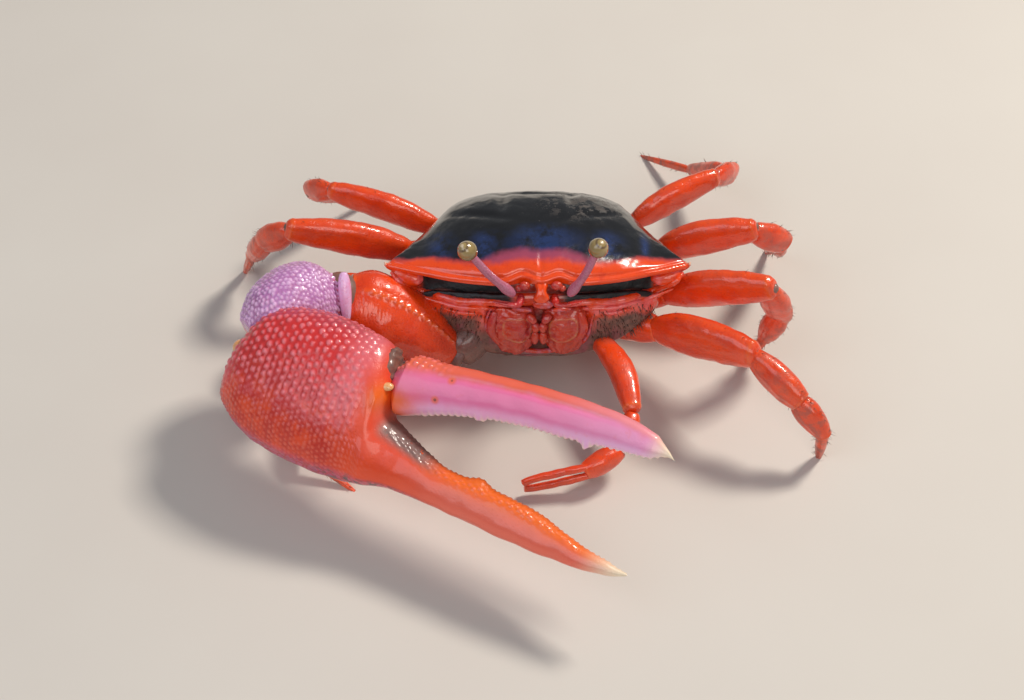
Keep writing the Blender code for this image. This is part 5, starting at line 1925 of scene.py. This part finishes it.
@dataclass
class WalkingLeg:
    """One walking leg: socket in the body's frame, and its joints from the crab's middle."""

    name: str
    socket: tuple[float, float, float]
    size: float
    joints: tuple[tuple[float, float, float], ...]
    steep: float = 0.4
    lap: float = 0.8
    base_length: float = 4.2
    arch: float = 0.5
    # Chance of a bristle at each point of the outer segments and of the inner ones
    bushy: float = 0.1
    bare: float = 0.02
    # Length and radius of a bristle
    bristle: tuple[float, float] = (0.7, 0.04)
    # How wide and how high a joint's skin is at its root, and at its end, as shares of the segment
    skin: tuple[float, float, float] = (0.84, 0.8, 0.84)

    def __post_init__(self) -> None:
        """Start the leg's coat of bristles, drawn from its name."""
        self.coat = Coat(sum(ord(letter) for letter in self.name))

    def sizes(self, *rows: tuple[float, float, float]) -> Keys:
        """Half thicknesses and half heights, by place along, at this leg's size."""
        return Keys(*[(at, thick * self.size, high * self.size) for at, thick, high in rows])

    def turned(self, before: Vector, start: Vector, end: Vector) -> Vector:
        """A segment's own level side direction, or the one before where it drops steeply.

        Args:
            before: the side direction before it.
            start: the segment's near end.
            end: the segment's far end.

        Returns:
            The side direction.
        """
        run = end - start
        if Vector((run.x, run.y)).length < self.steep * run.length:
            return before
        side = across_of(start, end)
        return side if side.dot(before) >= 0.0 else -side

    def limbs(self) -> dict[LegPart, Limb]:
        """Lay out the segments.

        Returns:
            Each segment's limb.
        """
        root = BODY @ Vector(self.socket)
        knee, wrist, ankle, foot = (at_home(*joint) for joint in self.joints)
        hip = past(knee, root, -self.base_length)
        side = across_of(root, knee)
        lap = self.lap * self.size
        upward = side.cross((knee - hip).normalized())
        upward *= copysign(self.arch, upward.z)
        found = {LegPart.BASE: Limb(
            [past(hip, root, 2.5), past(root, hip, lap)],
            self.sizes((0.0, 1.9, 2.1), (0.5, 1.65, 1.9), (1.0, 1.35, 1.7)), side,
        )}
        found[LegPart.MERUS] = Limb(
            [hip, (hip + knee) / 2.0 + upward, past(hip, knee, lap)],
            self.sizes((0.0, 1.25, 1.9), (0.35, 1.45, 2.45), (0.75, 1.4, 2.3), (1.0, 1.3, 1.9)), side,
        )
        side = self.turned(side, knee, wrist)
        found[LegPart.CARPUS] = Limb(
            [knee, past(knee, wrist, lap)],
            self.sizes((0.0, 1.0, 1.35), (0.45, 1.25, 1.85), (1.0, 1.15, 1.75)), side,
        )
        side = self.turned(side, wrist, ankle)
        found[LegPart.PROPODUS] = Limb(
            [wrist, past(wrist, ankle, lap * 0.6)],
            self.sizes((0.0, 0.95, 1.4), (0.4, 1.05, 1.55), (1.0, 0.75, 1.05)), side,
        )
        side = self.turned(side, ankle, foot)
        found[LegPart.DACTYL] = Limb(
            [ankle, past(ankle, foot, 0.5)],
            self.sizes((0.0, 0.62, 0.8), (0.5, 0.5, 0.6), (1.0, 0.3, 0.34)), side, 0.3, 1.0,
        )
        return found

    def relief(self, part: LegPart) -> Relief:
        """How a segment's surface is raised.

        Args:
            part: which segment.

        Returns:
            Its relief, with the marks rim and mud.
        """
        strip = list(LegPart).index(part)
        outer = part in (LegPart.CARPUS, LegPart.PROPODUS, LegPart.DACTYL)
        bushy = self.bushy if outer else self.bare
        length, radius = self.bristle

        def raised(spot: Spot) -> tuple[float, float, float]:
            """Edges with fine teeth, cross wrinkles, furrows and a ring at the far end.

            Args:
                spot: where the point lies.

            Returns:
                How far it is raised, then a value for each mark.
            """
            ridge = max(bell(spot.angle, pi / 2.0, 0.16), bell(spot.angle, -pi / 2.0, 0.16))
            middle = smooth(0.05, 0.2, spot.along) * smooth(0.95, 0.8, spot.along)
            if ridge > 0.3 and 0.1 < spot.along < 0.92 and self.coat.draw.random() < bushy:
                limb = self.limbs()[part]
                forward = (limb.points[-1] - limb.points[0]).normalized()
                out = limb.frame(spot.along)[2] * copysign(1.0, spot.angle)
                lie = forward * 0.9 + out * 0.6
                self.coat.grow(spot, lie, length * self.size, radius, (strip, len(LegPart)))
            if part is LegPart.DACTYL:
                furrow = bell(abs(sin(spot.angle * 2.0)), 0.0, 0.3)
                return -0.05 * furrow * middle, 0.15 * middle, part.value[1]
            teeth = 0.5 + 0.5 * cos(2.0 * pi * spot.u / 0.5)
            wrinkle = bell(abs(spot.angle), pi / 2.0, 0.55) * cos(2.0 * pi * spot.u / 0.42 + spot.v)
            ring = bell(spot.along, 0.87, 0.025)
            rise = 0.07 * ridge * teeth * middle + 0.022 * wrinkle * middle + 0.08 * ring * self.size
            rise += 0.1 * noise.noise(spot.co * 0.7)
            if part in (LegPart.CARPUS, LegPart.PROPODUS):
                rise -= 0.1 * middle * bell(sin(spot.angle), 0.35, 0.12)
            return rise, 0.35 * max(ring, ridge * middle * 0.4), part.value[1]

        return raised

    def build(self) -> None:
        """Make every segment and the soft skins at the joints."""
        skins = []
        for part, limb in self.limbs().items():
            rings, sides = (90, 48) if part is LegPart.MERUS else (54, 40)
            bm = limb.mesh(rings, sides, self.relief(part), ("rim", "mud"))
            node = f"{self.name}_{part.value[0]}"
            if part is LegPart.DACTYL:
                for vert in bm.verts:
                    vert.co.z = max(vert.co.z, 0.0)
            put(f"{node}_shell", bm, LEG_SHELL, [node])
            if part is not LegPart.BASE:
                start, ahead = limb.points[0], limb.points[1]
                reach = 0.55 * self.size
                (at, thick, high), (wide, low, end) = limb.sizes.rows[0], self.skin
                sizes = Keys((at, thick * wide, high * low), (1.0, thick * end, high * end))
                line = [past(ahead, start, reach), past(ahead, start, -reach)]
                skins.append(Limb(line, sizes, limb.side, 0.4, 1.0).mesh(16, 28))
        put(f"{self.name}_joint_skins", joined(skins), JOINT_SKIN)
        self.coat.put(f"{self.name}_bristles")


LEGS = (
    WalkingLeg("leg_l1", (10.8, -4.4, -8.8), 1.15,
               ((24.9, -16.9, 13.0), (30.1, -21.1, 10.0), (33.4, -22.9, 5.8), (33.6, -21.6, 0.0))),
    WalkingLeg("leg_l2", (11.8, -0.8, -7.4), 1.0,
               ((27.3, -9.5, 16.5), (29.3, -7.7, 10.2), (28.0, -6.7, 5.0), (26.0, -6.0, 0.0))),
    WalkingLeg("leg_l3", (11.4, 5.2, -5.4), 0.98,
               ((26.2, 1.9, 15.0), (30.3, 3.4, 11.5), (30.9, 8.4, 5.6), (30.2, 13.4, 0.0))),
    WalkingLeg("leg_l4", (8.5, 9.0, -4.9), 0.85,
               ((22.5, 13.5, 13.0), (25.2, 17.4, 10.4), (20.7, 24.9, 4.0), (14.9, 32.0, 0.0))),
    WalkingLeg("leg_r1", (-10.8, -3.8, -8.8), 0.95,
               ((-23.6, -9.0, 6.8), (-27.2, -15.6, 5.6), (-27.2, -23.6, 2.8), (-21.9, -26.6, 0.0))),
    WalkingLeg("leg_r2", (-11.8, -0.8, -7.4), 1.0,
               ((-28.4, -2.6, 9.0), (-32.0, -6.0, 7.6), (-34.4, -9.4, 4.2), (-37.4, -12.0, 0.0))),
    WalkingLeg("leg_r3", (-11.4, 5.2, -5.4), 0.98,
               ((-30.0, 2.4, 14.5), (-33.6, 4.3, 10.8), (-36.0, 7.1, 5.5), (-37.6, 9.7, 0.0))),
    WalkingLeg("leg_r4", (-8.5, 9.0, -4.9), 0.85,
               ((-25.5, 11.0, 13.0), (-28.6, 14.0, 10.4), (-24.9, 19.2, 4.6), (-20.2, 24.4, 0.0))),
)


@dataclass
class Studio:
    """Pale floor, soft lights and the camera."""

    lens: float = 74.25
    sensor: float = 36.0
    clip: tuple[float, float] = (0.01, 10.0)
    camera_place: tuple[float, float, float] = (-0.001188, -0.177007, 0.193260)
    floor_half: float = 1.5
    floor_steps: int = 8
    sky: Colour = rgb(224, 228, 234)
    sky_strength: float = 0.25
    # Name, place, size, power and colour of each lamp
    lamps: tuple[tuple[str, Vector, float, float, Colour], ...] = (
        ("key_lamp", Vector((0.28, 0.16, 0.42)), 0.10, 2.3, rgb(255, 247, 236)),
        ("fill_lamp", Vector((-0.35, -0.3, 0.4)), 0.45, 1.1, rgb(236, 243, 255)),
        ("front_lamp", Vector((0.1, -0.5, 0.35)), 0.3, 0.8, rgb(255, 250, 244)),
    )

    def lamp(self, name: str, place: Vector, size: float, watts: float, warmth: Colour) -> None:
        """Hang one soft area lamp that points at the crab.

        Args:
            name: the lamp's name.
            place: where it hangs, in metres.
            size: its width, in metres.
            watts: its power.
            warmth: its colour.
        """
        light = bpy.data.lights.new(name, "AREA")
        light.size, light.energy, light.color = size, watts, warmth[:3]
        lamp = bpy.data.objects.new(name, light)
        lamp.location = place
        lamp.rotation_euler = (-place).to_track_quat("-Z", "Y").to_euler()
        bpy.context.scene.collection.objects.link(lamp)

    def build(self) -> None:
        """Lay the floor, hang the lamps and set up the camera."""
        bm = bmesh.new()
        steps = self.floor_steps
        bmesh.ops.create_grid(bm, x_segments=steps, y_segments=steps, size=self.floor_half)
        mesh = bpy.data.meshes.new("studio_floor")
        bm.to_mesh(mesh)
        bm.free()
        floor = bpy.data.objects.new("studio_floor", mesh)
        mesh.materials.append(StudioFloor("studio_floor").material())
        bpy.context.scene.collection.objects.link(floor)
        for lamp in self.lamps:
            self.lamp(*lamp)
        world = bpy.data.worlds.new("studio_world")
        world.use_nodes = True
        sky = world.node_tree.nodes["Background"].inputs
        sky["Color"].default_value = self.sky
        sky["Strength"].default_value = self.sky_strength
        bpy.context.scene.world = world
        bpy.context.scene.view_settings.view_transform = "Standard"
        camera = bpy.data.cameras.new("photo_camera")
        camera.lens, camera.sensor_width = self.lens, self.sensor
        camera.clip_start, camera.clip_end = self.clip
        stand = bpy.data.objects.new("photo_camera", camera)
        stand.location = self.camera_place
        stand.rotation_euler = (pi / 2.0 - VIEW_ELEVATION, 0.0, 0.0)
        bpy.context.scene.collection.objects.link(stand)
        bpy.context.scene.camera = stand


def main() -> None:
    """Build the crab piece by piece in its studio."""
    logging.basicConfig(level=logging.INFO, format="%(name)s: %(message)s")
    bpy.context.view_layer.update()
    makers = (
        Studio(), Carapace(), Trunk(), Mouth(), Eyes(), Abdomen(), GiantClaw(), SmallClaw(), *LEGS,
    )
    for maker in makers:
        maker.build()
        log.info("%s is in place", getattr(maker, "name", type(maker).__name__))


if __name__ == "__main__":
    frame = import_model()
    main()
